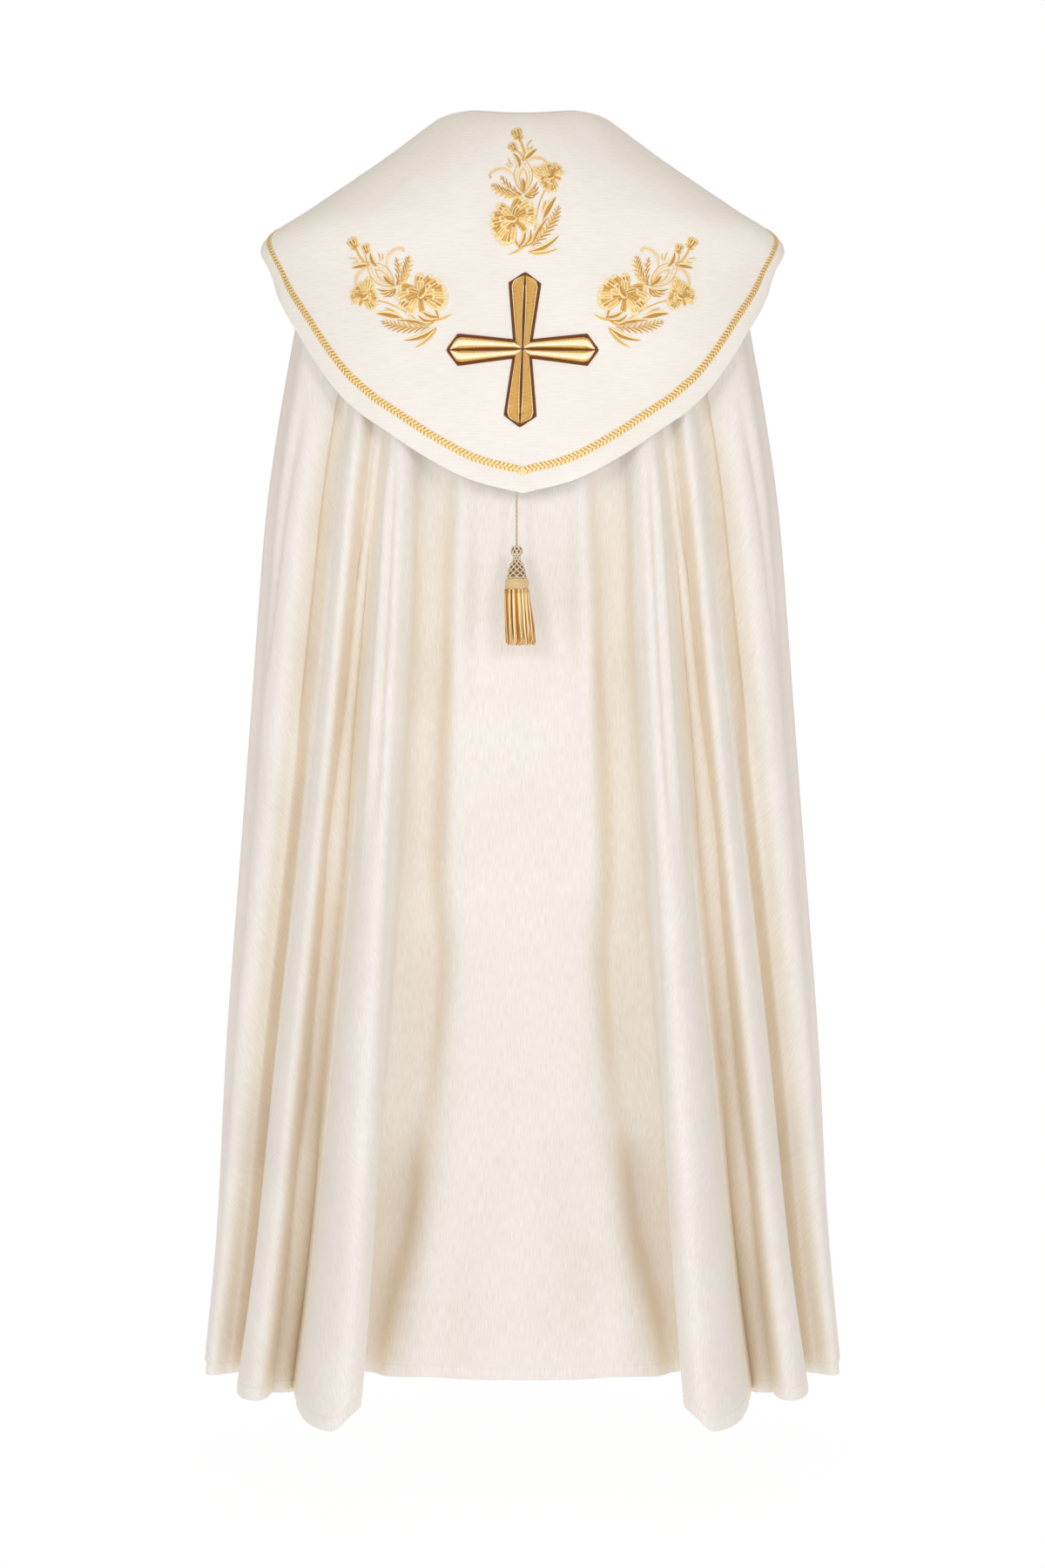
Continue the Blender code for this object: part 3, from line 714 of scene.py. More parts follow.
def make_galloon():
    """Flat braid: two rows of slanting loops that meet along its middle, with painted highlight on the
    raised loops and painted shade between them.
    """
    rough = np.linspace(0, HOOD_EDGE[-1].angle, 400)
    line = hood_point(*hood_edge_step(rough, GALLOON_INSET))
    lengths = np.concatenate([[0], np.cumsum(np.linalg.norm(np.diff(line, axis=0), axis=1))])
    station, pitch = 0.0006, 0.0046
    ground, loop = 0.00045, 0.0006
    along = np.arange(0, lengths[-1], station)
    angles = np.interp(along, lengths, rough)
    sides = np.array((0.1, 0.28, 0.45, 0.62, 0.8, 0.97, 1.0))
    sides = np.concatenate([-sides[::-1], sides])

    def loop_height(side, place):
        """1 on top of a loop and 0 between loops. The two rows are half a loop apart."""
        shift = np.where(side > 0, 0.5, 0.0) + 0.55 * np.abs(side)
        return 0.5 + 0.5 * np.cos(2 * math.pi * (place / pitch + shift))

    rows = []
    for side in sides:
        where = hood_edge_step(angles, GALLOON_INSET - side * GALLOON_WIDTH / 2)
        out = ground + loop * loop_height(side, along) * (1 - abs(side) ** 6)
        if abs(side) == 1.0:
            out = np.full(len(along), SEAM_GAP / 2)
        rows.append(hood_point(*where) + hood_normal(*where) * out[:, None])
    half = np.array(rows)
    half[:, 0, 0] = 0.0
    uvs = np.stack(np.broadcast_arrays(along[None, :], sides[:, None] * GALLOON_WIDTH / 2), axis=-1)
    middle_side = ((sides[1:] + sides[:-1]) / 2)[:, None]
    middle_along = ((along[1:] + along[:-1]) / 2)[None, :]
    # Painted light: light gold on top of each loop and along the raised edges, deep gold between loops.
    raised = loop_height(middle_side, middle_along)
    shades = np.where(raised > 0.55, LIGHT, np.where(raised > 0.25, MID, DEEP))
    shades = np.where(np.abs(middle_side) > 0.85, np.where(raised > 0.3, LIGHT, MID), shades)
    outer = mirrored(half)
    obj = make_object(
        "galloon_braid",
        outer.reshape(-1, 3),
        grid_faces(*outer.shape[:2]),
        mirrored(uvs).reshape(-1, 2),
        GOLDS,
        np.concatenate([shades[:, ::-1], shades], axis=1).ravel(),
    )
    return dressed(obj, "galloon")


# Embroidery on the hood.


class Embroidery:
    """Raised stitching, collected as grids of points in the flat and then laid on the hood's back."""

    def __init__(self, centre, unit=1.0, turn=0.0, mirror=False):
        self.centre = centre
        self.unit = unit
        self.turn = math.radians(turn)
        self.mirror = mirror
        self.points, self.outs, self.uvs, self.faces, self.shades = [], [], [], [], []
        self.count = 0

    def patch(self, lines, outs, uvs, shades):
        """A grid: lines holds rows of (x, y), outs their heights, and shades a colour for each quad."""
        rows, columns = outs.shape
        self.points.append(lines.reshape(-1, 2))
        self.outs.append(outs.ravel())
        self.uvs.append(uvs.reshape(-1, 2))
        self.faces.append(grid_faces(rows, columns, self.count)[:, ::-1])
        self.shades.append(np.asarray(shades).ravel())
        self.count += rows * columns

    def strip(self, path, half_widths, height, profile, shades, base=0.0):
        """A strip along a path. profile is (place across, share of the height) for each of its lines."""
        ahead = np.gradient(path, axis=0)
        ahead /= np.maximum(np.linalg.norm(ahead, axis=1, keepdims=True), 1e-12)
        side = np.stack([-ahead[:, 1], ahead[:, 0]], axis=1)
        along = np.concatenate([[0], np.cumsum(np.linalg.norm(np.diff(path, axis=0), axis=1))])
        taper = np.clip(half_widths / half_widths.max() * 2.0, 0.25, 1.0)
        lines, outs, uvs = [], [], []
        for place, share in profile:
            lines.append(path + side * (half_widths * place)[:, None])
            outs.append(base + height * share * taper if share > 0 else np.full(len(path), SUNK))
            uvs.append(np.stack([along, half_widths * place], axis=1))
        cells = np.repeat(shades, len(path) - 1).reshape(len(profile) - 1, -1)
        self.patch(np.array(lines), np.array(outs), np.array(uvs), cells)

    def flat(self):
        """All points in the flat, at their size, turned and mirrored."""
        flat = np.concatenate(self.points) * self.unit
        if self.mirror:
            flat = flat * (-1, 1)
        cos, sin = math.cos(self.turn), math.sin(self.turn)
        x = flat[:, 0] * cos - flat[:, 1] * sin + self.centre[0]
        z = flat[:, 0] * sin + flat[:, 1] * cos + self.centre[1]
        return x, z

    def build(self, name, x, z, materials):
        faces = np.concatenate(self.faces)
        if self.mirror:
            faces = faces[:, ::-1]
        points = hood_back(x, z, np.concatenate(self.outs))
        uvs = np.concatenate(self.uvs) * self.unit
        return make_object(name, points, faces, uvs, materials, np.concatenate(self.shades))


# Sprays are drawn in units of a millimetre at Y = 0, as seen from the camera. Their edges are sunk into
# the hood.
STITCH_UNIT = 0.001
SUNK = -0.0002


def profile_of(*half, middle=None):
    """A strip's profile from one half's (place across, share of the height) and its middle's share."""
    centre = () if middle is None else ((0.0, middle),)
    return (*half, *centre, *((-place, share) for place, share in reversed(half)))


ROUND = profile_of((-1.0, 0.0), (-0.96, 0.45), (-0.5, 0.9), middle=1.0)
VEINED = profile_of((-1.0, 0.0), (-0.90, 0.6), (-0.5, 1.0), (-0.12, 0.3))


def direction(degrees):
    return np.array([math.cos(math.radians(degrees)), math.sin(math.radians(degrees))])


def arc(start, angle, length, bend, count):
    """Points of an arc from a start, at an angle in degrees, turning by bend degrees over its length."""
    points = [np.array(start, float)]
    for k in range(count - 1):
        towards = direction(angle + bend * (k + 0.5) / (count - 1))
        points.append(points[-1] + length / (count - 1) * towards)
    return np.array(points)


def path_through(start, middle, end, count=12):
    """Points of a smooth curve through three places."""
    start, middle, end = (np.array(place, float) for place in (start, middle, end))
    t = np.linspace(0, 1, count)[:, None]
    return start * (1 - t) * (1 - 2 * t) + middle * 4 * t * (1 - t) + end * t * (2 * t - 1)


def bowed(start, end, bow, count):
    """Points of a line between two places, bowed to the left by so much."""
    start, end = np.array(start, float), np.array(end, float)
    step = end - start
    middle = (start + end) / 2 + bow * np.array([-step[1], step[0]]) / np.linalg.norm(step)
    return path_through(start, middle, end, count)


def heading(path, k):
    """The direction of a path past its point k, in degrees."""
    step = path[k + 1] - path[k]
    return math.degrees(math.atan2(step[1], step[0]))


def leaf(work, start, end, width, bow=0.0, shades=None, base=0.0002):
    """A pointed leaf in two halves, with a groove between them, bowed to the left by so much."""
    t = np.linspace(0, 1, 12)
    widths = width / 2 * np.sin(math.pi * t**0.8) ** 0.85 + 0.1
    # Painted light: the groove between the halves is deep gold as painted shade, and the halves' two golds
    # are painted sheen.
    near, far = shades or (MID, LIGHT)
    cells = (near, near, near, DEEP, far, far, far)
    work.strip(bowed(start, end, bow, len(t)), widths, 0.0010, VEINED, cells, base=base)


def stroke(work, path, width, shade=MID):
    """A round line of stitches that thins towards its end."""
    work.strip(path, np.linspace(width, width * 0.6, len(path)), 0.0007, ROUND, (shade,) * 6, base=0.0001)


def petal(work, foot, angle, length, width, tone, bend=0.0, lobes=3, base=0.0003):
    """A round-ended petal of padded ribs, with painted shade at its narrow foot and painted highlight along
    its lobed rim.
    """
    down = np.array([0.04, 0.14, 0.26, 0.40, 0.53, 0.64, 0.74, 0.82, 0.89, 0.95, 0.985])
    across = np.concatenate([[-1.0], np.linspace(-0.94, 0.94, 6 * lobes + 1), [1.0]])
    v, u = np.meshgrid(down, across, indexing="ij")
    rib = np.abs(np.sin(math.pi * lobes * (u + 1) / 2))
    middle = arc(foot, angle, length, bend, 15)
    steps = np.linspace(0, 1, 15)
    reach = v * (1 - 0.12 * (1 - rib) * v**4)
    ahead = np.gradient(middle, axis=0)
    ahead /= np.linalg.norm(ahead, axis=1, keepdims=True)
    rising = np.sin(math.pi / 2 * np.minimum(1, down / 0.64)) ** 0.85
    falling = (1 - np.clip((down - 0.64) / 0.36, 0, 1) ** 3) ** 0.6
    half = (width / 2 * rising * falling)[:, None]
    lines = []
    for axis, other in ((0, -1), (1, 1)):
        place = np.interp(reach, steps, middle[:, axis])
        side = np.interp(reach, steps, ahead[:, 1 - axis]) * other
        lines.append(place + side * half * u)
    dome = (1 - np.abs(u) ** 3) * (0.35 + 0.65 * np.sin(math.pi * v**0.8)) * (0.5 + 0.5 * rib)
    outs = base + 0.0015 * dome
    outs[-1] = SUNK
    outs[:, 0] = outs[:, -1] = SUNK
    middle_v, middle_u = (v[:-1, :-1] + v[1:, 1:]) / 2, (u[:-1, :-1] + u[1:, 1:]) / 2
    middle_rib = np.abs(np.sin(math.pi * lobes * (middle_u + 1) / 2))
    # Painted light: deep gold at the foot as painted shade, lighter ribs and rim as painted highlight.
    body, raised, root = PETAL_TONES[tone]
    shades = np.where(middle_rib > 0.90, raised, body)
    shades[middle_v < 0.22] = root
    shades[(middle_v > 0.84) | (np.abs(middle_u) > 0.86)] = LIGHT
    uvs = np.stack([reach * length, u * half], axis=-1)
    work.patch(np.stack(lines, axis=-1), outs, uvs, shades)


def tendril(work, start, middle, end, curl):
    """A hooked tendril: a long curve and a tight curl to a knob, with a comb of short stitches inside."""
    first = path_through(start, middle, end, 14)
    second = arc(end, heading(first, -2), 7.0, curl, 5)
    path = np.vstack([first, second[1:]])
    widths = 0.55 + 0.9 * np.linspace(0, 1, len(path)) ** 1.6
    # Painted highlight: light gold along the round line's raised top.
    work.strip(path, widths, 0.0009, ROUND, (MID, MID, LIGHT, LIGHT, MID, MID), base=0.0001)
    for k in range(2, len(first) - 1):
        comb = arc(first[k], heading(first, k) + math.copysign(64, curl), 3.4, 0, 3)
        stroke(work, comb, width=0.45, shade=LIGHT)


def fern(work, start, end, pairs, width, bow=0.0, spread=34.0):
    """A feathered leaf: narrow leaflets in pairs along a stem, and one at its end."""
    path = bowed(start, end, bow, pairs * 2 + 2)
    stroke(work, path, width=0.8, shade=DEEP)
    for k in range(1, pairs + 1):
        reach = width * math.sin(math.pi * (k + 0.6) / (pairs + 1.4)) ** 0.6
        # Painted shade: the leaflets on one side of the stem have a deep gold half, those on the other a
        # mid gold half.
        for side, shades in ((-1, (DEEP, LIGHT)), (1, (MID, LIGHT))):
            foot = path[2 * k - 1]
            tip = foot + reach * direction(heading(path, 2 * k - 1) + side * spread)
            leaf(work, foot, tip, reach * 0.18 + 0.8, side * -0.1 * reach, shades)


def bud(work, foot, angle, size):
    """A round closed bud: side petals folded over a middle one, on two small sepals."""
    petal(work, foot, angle, size, size * 0.95, "light")
    for side in (-1, 1):
        petal(work, foot, angle + side * 24, size * 0.94, size * 0.5, "mid", side * -36, 2, 0.0007)
        leaf(work, foot, foot + size * 0.45 * direction(angle + side * 62), size * 0.2, base=0.0004)
    leaf(work, foot, foot + size * 0.7 * direction(angle), size * 0.24, shades=(DEEP, MID), base=0.0010)


PetalRow = namedtuple("PetalRow", "angle length width tone bend lobes")
BLOOM_OUTER = (
    PetalRow(118, 30, 13, "mid", 40, 3),
    PetalRow(98, 33, 13, "dark", -62, 3),
    PetalRow(72, 34, 14, "light", -60, 3),
    PetalRow(44, 33, 13, "mid", -50, 3),
    PetalRow(14, 30, 11, "light", -40, 3),
    PetalRow(150, 30, 11, "dark", 34, 2),
    PetalRow(176, 31, 12, "mid", 26, 3),
    PetalRow(199, 32, 12, "dark", 26, 3),
    PetalRow(219, 33, 11, "light", 20, 3),
    PetalRow(237, 33, 11, "dark", 14, 3),
    PetalRow(254, 32, 10, "mid", 4, 2),
    PetalRow(272, 28, 9, "light", -16, 2),
    PetalRow(-26, 22, 8, "dark", -36, 2),
)
BLOOM_MIDDLE = (
    PetalRow(124, 21, 12, "light", 30, 3),
    PetalRow(96, 21, 11, "mid", -60, 3),
    PetalRow(60, 23, 11, "dark", -58, 3),
    PetalRow(26, 22, 10, "light", -46, 3),
    PetalRow(160, 19, 10, "mid", 28, 2),
    PetalRow(196, 18, 9, "light", 20, 2),
    PetalRow(230, 16, 8, "dark", 10, 2),
)


def bloom(work, centre, size, turn=0.0):
    """A full flower: two rings of petals, one over the other, round a dark seed in a light rim."""
    for level, ring in enumerate((BLOOM_OUTER, BLOOM_MIDDLE)):
        for k, row in enumerate(ring):
            angle, length, width = row.angle + turn, row.length * size, row.width * size
            base = 0.0003 + 0.0009 * level + 0.0002 * (k % 3)
            petal(work, centre, angle, length, width, row.tone, row.bend, row.lobes, base)
    for length, width, shade, base in ((18, 9.5, LIGHT, 0.0024), (14.5, 5.8, DEEP, 0.0030)):
        reach = length * size / 2
        ahead = direction(turn + 170)
        middle = np.array(centre) + 6.5 * size * ahead + 2 * size
        leaf(work, middle - ahead * reach, middle + ahead * reach, width * size, 1.0, (shade, shade), base)


def filigree(work):
    """A drop of thin lines, one within another, round a dark seed, over a fan of feathered leaves."""
    for side in (-1, 1):
        for half_width, foot, top, shade in ((10.5, 31, 72, MID), (7.2, 34, 66, LIGHT), (4.2, 37, 60, MID)):
            widest = (11 + side * half_width, 0.5 * top + 0.5 * foot)
            line = path_through((11, foot), widest, (10.5, top), 15)
            stroke(work, line, width=0.75, shade=shade)
            for k in range(2, 13, 2):
                stroke(work, arc(line[k], heading(line, k) + side * 70, 3.0, 0, 3), width=0.5, shade=LIGHT)
    leaf(work, (10.5, 32), (10.5, 48), 5.5, shades=(DEEP, MID), base=0.0006)
    fern(work, (9, 30), (-26, 41), 6, 12, 4)
    fern(work, (7, 31), (-15, 51), 4, 9, 3)
    for end, width in (((27, 45), 4.0), ((29, 39), 4.2), ((29, 33), 3.8), ((25, 28), 3.0)):
        leaf(work, (12, 29), end, width, -2.0, (DEEP, LIGHT))
    for end in ((-16, 31), (-12, 27)):
        leaf(work, (9, 28), end, 3.4, 2.0, (MID, LIGHT))


LeafRow = namedtuple("LeafRow", "start end width bow dark")
SPRAY_LEAVES = (
    # by the buds
    LeafRow((12, 70), (27, 82), 6.5, 1.5, True),
    LeafRow((6, 61), (-1, 77), 6.0, -1.5, True),
    LeafRow((15, 84), (21, 92), 1.6, 1.0, False),
    LeafRow((14, 82), (22, 85), 1.4, -1.0, False),
    LeafRow((0, 62), (-6, 71), 1.6, 1.5, False),
    LeafRow((-2, 60), (-9, 66), 1.5, 1.0, False),
    # under the small flower
    LeafRow((34, 2), (49, 27), 8.5, 2.5, True),
    LeafRow((33, 6), (38, 24), 3.0, 1.5, False),
    # at the foot
    LeafRow((16, -36), (52, -17), 6.5, -3.0, True),
    LeafRow((17, -37), (51, -32), 5.0, -2.0, False),
    LeafRow((13, -29), (-7, -40), 3.6, 1.5, False),
    LeafRow((8, -33), (1, -20), 3.6, 1.5, True),
    LeafRow((4, -31), (12, -8), 5.0, -3.0, True),
    LeafRow((8, -31), (19, -10), 5.0, -4.0, True),
    LeafRow((11, -30), (24, -14), 4.4, -4.0, False),
)


def spray(name, centre, turn=0.0, mirror=False):
    """One spray of two buds, a tendrilled stem, a large and a small flower, and leaves."""
    work = Embroidery(centre, STITCH_UNIT, turn, mirror)
    stroke(work, path_through((38, 38), (27, 10), (24, -29), 14), width=1.0)
    stroke(work, path_through((34, 4), (31, -12), (22, -30), 10), width=0.9)
    stroke(work, path_through((13, 70), (11, 82), (6, 94)), width=1.9)
    stroke(work, path_through((11, 68), (8, 76), (2, 81)), width=1.2)
    bud(work, (6, 92), 108, 15)
    bud(work, (2, 79), 124, 12)
    for row in SPRAY_LEAVES:
        leaf(work, row.start, row.end, row.width, row.bow, (DEEP, LIGHT) if row.dark else (MID, LIGHT))
    tendril(work, (13, 64), (24, 73), (37, 68), -110)
    tendril(work, (2, 48), (-11, 60), (-26, 55), 100)
    filigree(work)
    fern(work, (22, -29), (52, 17), 9, 12, -4, 36)
    leaf(work, (20, -29), (40, 4), 5.0, 3.0, (DEEP, LIGHT))
    for angle, length in ((158, 22), (128, 17), (176, 17)):
        petal(work, (40, 50), angle, length, 10, "light", -18, 3, 0.0006)
    bloom(work, (44, 49), 0.56, 28)
    bloom(work, (0, -1), 0.97)
    x, z = work.flat()
    dressed(work.build(name, *seen_on_hood(x, z), GOLDS), None)


def seen_on_hood(x, z):
    """Where the hood's back is seen behind places on the plane Y = 0."""
    scale = np.full(len(x), 0.94)
    for _ in range(6):
        height = CAMERA_HEIGHT + (z - CAMERA_HEIGHT) * scale
        depth = hood_back(x * scale, height, np.zeros(len(x)))[:, 1]
        scale = (CAMERA_DISTANCE + depth) / CAMERA_DISTANCE
    return x * scale, CAMERA_HEIGHT + (z - CAMERA_HEIGHT) * scale


def pixel_place(pixel_x, pixel_y):
    """The place on the plane Y = 0 that the photograph shows at a pixel."""
    x = (pixel_x - PHOTO_WIDTH / 2) / PIXELS_PER_METRE
    return x, CAMERA_HEIGHT + (PHOTO_HEIGHT / 2 - pixel_y) / PIXELS_PER_METRE


def make_sprays():
    spray("spray_top", pixel_place(590, 253))
    spray("spray_left", pixel_place(484, 340), 50, mirror=True)
    spray("spray_right", pixel_place(716, 340), -50)


# The cross.


BROWN = 3
BORDER, MIDDLE_LINE = 0.0033, 0.0030
CROSS_GROUND = profile_of((-1.0, 0.0), (-0.97, 1.0), middle=1.0)
# The upright's fields are deep gold with light piping, the other arm's are light along their middle. These
# golds are partly the thread's own and partly painted sheen of satin stitch laid across each arm.
CROSS_FIELDS = {
    "upright": (
        profile_of((-1.0, 0.0), (-0.96, 1.0), (-0.85, 1.1), (-0.79, 0.7), middle=0.9),
        (LIGHT, LIGHT, MID, DEEP, DEEP, MID, LIGHT, LIGHT),
    ),
    "across": (
        profile_of((-1.0, 0.0), (-0.92, 0.5), (-0.72, 0.8), (-0.5, 0.95)),
        (DEEP, DEEP, MID, LIGHT, MID, DEEP, DEEP),
    ),
}


def arm_half_width(along, length):
    """Half the width of the cross's arm at a distance from its middle."""
    shoulder = length - CROSS_POINT
    middle, end = CROSS_WIDTH["middle"] / 2, CROSS_WIDTH["end"] / 2
    widening = middle + (end - middle) * (along - middle) / (shoulder - middle)
    point = end * (length - along) / CROSS_POINT
    return np.where(along < middle, middle, np.where(along < shoulder, widening, np.maximum(point, 0)))


def stations(start, shoulder, end, count, point_count):
    """Distances along an arm: so many to its shoulder, then so many to its point."""
    point = np.linspace(shoulder, end, point_count)
    return np.concatenate([np.linspace(start, shoulder, count), point[1:]])


def make_cross():
    """A brown ground, two padded gold fields on each arm with a brown line between, and a raised border."""
    work = Embroidery((0.0, -CROSS_CENTRE_DROP))
    for kind, turn in (
        ("across", 0.0),
        ("upright", 90 - CROSS_UPRIGHT_LEAN),
        ("across", 180.0),
        ("upright", 270 - CROSS_UPRIGHT_LEAN),
    ):
        length = CROSS_ARM_LENGTH[kind]
        shoulder = length - CROSS_POINT
        profile, shades = CROSS_FIELDS[kind]
        ahead = direction(turn)
        side = np.array([-ahead[1], ahead[0]])

        def beside(along, aside):
            """A path along the arm, so far aside from its middle line."""
            return along[:, None] * ahead + aside[:, None] * side

        along = stations(0, shoulder, length, 16, 7)
        ground = 0.0009 if kind == "across" else 0.00088
        half = arm_half_width(along, length)
        work.strip(beside(along, 0 * along), half, ground, CROSS_GROUND, (BROWN,) * 4)
        along = stations(0.0015, shoulder, length - BORDER * 1.35, 20, 8)
        inner = MIDDLE_LINE / 2 * (0.35 + 0.65 * np.sin(math.pi * np.clip(along / shoulder, 0, 1)) ** 0.7)
        outer = np.minimum(arm_half_width(along + BORDER * 0.35, length) - BORDER, along * 0.9)
        outer = np.maximum(outer, inner + 0.0001)
        edge = stations(CROSS_WIDTH["middle"] / 2, shoulder, length, 14, 6)
        inset = np.where(edge < shoulder + 1e-6, BORDER / 2, BORDER * 0.62)
        for hand in (1, -1):
            path = beside(along, hand * (inner + outer) / 2)
            work.strip(path, (outer - inner) / 2, 0.0012, profile, shades, base=0.0008)
            path = beside(edge, hand * np.maximum(arm_half_width(edge, length) - inset, 0))
            path[-1] = (length - BORDER * 0.75) * ahead
            work.strip(path, np.full(len(path), BORDER / 2), 0.0017, ROUND, (BROWN,) * 6)
    obj = work.build("cross_applique", *work.flat(), [cross_light, cross_mid, cross_deep, brown_thread])
    dressed(obj, "cross")


# The clasp, and the tassel.


def make_clasp():
    """A plain tab of the mantle's satin, over the front edges."""
    last = 4 * len(FOLDS) + 2
    places = np.linspace(last - 2.0, last, 14)
    half = mantle_points(places, np.linspace(*CLASP_DROPS, 14))[:, ::-1]
    edge = half[:, :1]
    bridge = np.concatenate([edge * (share, 1, 1) for share in (0.0, 0.25, 0.5, 0.75)], axis=1)
    half = np.concatenate([bridge, half], axis=1)
    outer = mirrored(half)[:, ::-1]
    normals = grid_normals(outer)
    uvs = outer[..., (0, 2)]
    raised = outer + normals * (CLASP_WALL + SEAM_GAP)
    obj = shell("clasp_tab", raised, normals, CLASP_WALL, uvs, mantle_satin)
    return dressed(obj, "clasp")


def ring_faces(count, sides):
    """Quads between so many rings of points, and a cap at each end."""
    faces = []
    for r in range(count - 1):
        for k in range(sides):
            after = (k + 1) % sides
            faces.append((r * sides + k, r * sides + after, (r + 1) * sides + after, (r + 1) * sides + k))
    return [*faces, tuple(range(sides))[::-1], tuple(range((count - 1) * sides, count * sides))]


def tube(path, radius, sides):
    """(points, faces) of a closed tube along a path, with a radius for each of its points."""
    path = np.asarray(path, float)
    radius = np.broadcast_to(radius, len(path))
    ahead = np.gradient(path, axis=0)
    ahead /= np.linalg.norm(ahead, axis=1, keepdims=True)
    first = np.cross(ahead, (0.3, 1.0, 0.2))
    first /= np.linalg.norm(first, axis=1, keepdims=True)
    second = np.cross(ahead, first)
    angles = np.linspace(0, math.tau, sides, endpoint=False)
    rings = path[:, None] + radius[:, None, None] * (
        np.cos(angles)[None, :, None] * first[:, None] + np.sin(angles)[None, :, None] * second[:, None]
    )
    return rings.reshape(-1, 3), ring_faces(len(path), sides)


def joined(pieces):
    """One (points, faces) from several."""
    points, faces, count = [], [], 0
    for piece_points, piece_faces in pieces:
        points.append(piece_points)
        faces += [tuple(k + count for k in face) for face in piece_faces]
        count += len(piece_points)
    return np.concatenate(points), faces


def tassel_top():
    """Where the tassel's cord leaves the hood's tip."""
    low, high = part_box("tassel_cord")
    return np.array([(low[0] + high[0]) / 2, (low[1] + high[1]) / 2, high[2]])


def make_tassel_cord():
    """A pale ply and a gold one, twisted round each other, which run on through the tassel's head."""
    top = tassel_top()
    whole = TASSEL_CORD_LENGTH + TASSEL_CORD_INSIDE
    turns, ply = 22, TASSEL_CORD_DIAMETER / 4
    t = np.linspace(0, 1, turns * 12 + 1)
    plies = []
    for start in (0.0, math.pi):
        angle = start + math.tau * turns * t
        offsets = np.stack([np.cos(angle), np.sin(angle), np.zeros_like(t)], axis=1) * ply
        path = top - np.outer(t, (0, 0, whole)) + offsets
        plies.append(tube(path, ply * 1.02, 7))
    points, faces = joined(plies)
    shades = np.repeat((0, 1), len(faces) // 2)
    obj = make_object("tassel_cord_twist", points, faces, None, [pale_cord, band_thread], shades)
    path = [top - (0, 0, whole * k / 40) for k in range(41)]
    return dressed(obj, "tassel_cord"), path


TurnedPoint = namedtuple("TurnedPoint", "radius drop")
TASSEL_HEAD = (
    TurnedPoint(0.0026, 0.0000),
    TurnedPoint(0.0052, 0.0018),
    TurnedPoint(0.0061, 0.0052),
    TurnedPoint(0.0052, 0.0085),
    TurnedPoint(0.0038, 0.0108),
    TurnedPoint(0.0038, 0.0150),
    TurnedPoint(0.0067, 0.0195),
    TurnedPoint(0.0090, 0.0270),
    TurnedPoint(0.0103, 0.0350),
)
BAND_TOP, BAND_BOTTOM, BAND_RADIUS = 0.0352, 0.0475, 0.0133
FRINGE_LENGTH = 0.0600
FRINGE_LEAN = 0.0038
STRANDS, LOCKS = 240, 17
NET_CORDS, NET_TURN = 8, 4.2
NET_RINGS = (0.0012, 0.0092, 0.0150, 0.0342)
BAND_ROWS = 28


def head_point(top, drop, angle, out=0.0):
    radius = curve_through(TASSEL_HEAD, "radius", drop) + out
    return top + np.stack([radius * np.cos(angle), radius * np.sin(angle), -drop], axis=-1)


def turned(top, profile, sides=40):
    """(points, faces) of a closed turned solid from (radius, drop) pairs."""
    angles = np.linspace(0, math.tau, sides, endpoint=False)
    rings = []
    for radius, drop in profile:
        ring = np.stack([radius * np.cos(angles), radius * np.sin(angles), np.full(sides, -drop)], axis=1)
        rings.append(top + ring)
    *walls, first, last = ring_faces(len(profile), sides)
    faces = [face[:1] + face[:0:-1] for face in walls]
    return np.concatenate(rings), [*faces, first[::-1], last[::-1]]


def make_tassel():
    """A netted head over a core, a firm band, and a fringe of fine strands in uneven locks."""
    top = tassel_top() - (0, 0, TASSEL_CORD_LENGTH + SEAM_GAP)
    core = turned(top, [(p.radius - 0.0008, p.drop) for p in TASSEL_HEAD])
    net = []
    drops = np.linspace(0.0004, TASSEL_HEAD[-1].drop, 40)
    for k in range(NET_CORDS):
        for hand in (1, -1):
            angle = math.tau * k / NET_CORDS + hand * drops / TASSEL_HEAD[-1].drop * NET_TURN
            net.append(tube(head_point(top, drops, angle, 0.0001), 0.00066, 4))
    for drop in NET_RINGS:
        angle = np.linspace(0, math.tau, 40)
        net.append(tube(head_point(top, np.full(40, drop), angle, 0.0003), 0.0007, 4))
    band_profile = [(0.0098, BAND_TOP)]
    for k in range(BAND_ROWS + 1):
        drop = BAND_TOP + 0.0004 + (BAND_BOTTOM - BAND_TOP - 0.0006) * k / BAND_ROWS
        swell = math.sqrt(math.sin(math.pi * (0.06 + 0.88 * k / BAND_ROWS)))
        rib = 0.0003 * math.cos(math.pi * k / 2)
        band_profile.append((BAND_RADIUS - 0.0024 + 0.0020 * swell + rib, drop))
    band_profile.append((0.0100, BAND_BOTTOM))
    pieces = [
        make_object("tassel_head", *core, materials=[tassel_core]),
        make_object("tassel_net", *joined(net), materials=[pale_cord]),
        make_object("tassel_band", *turned(top, band_profile, 64), materials=[band_thread]),
        make_fringe(top),
    ]
    return [dressed(piece, "tassel") for piece in pieces]


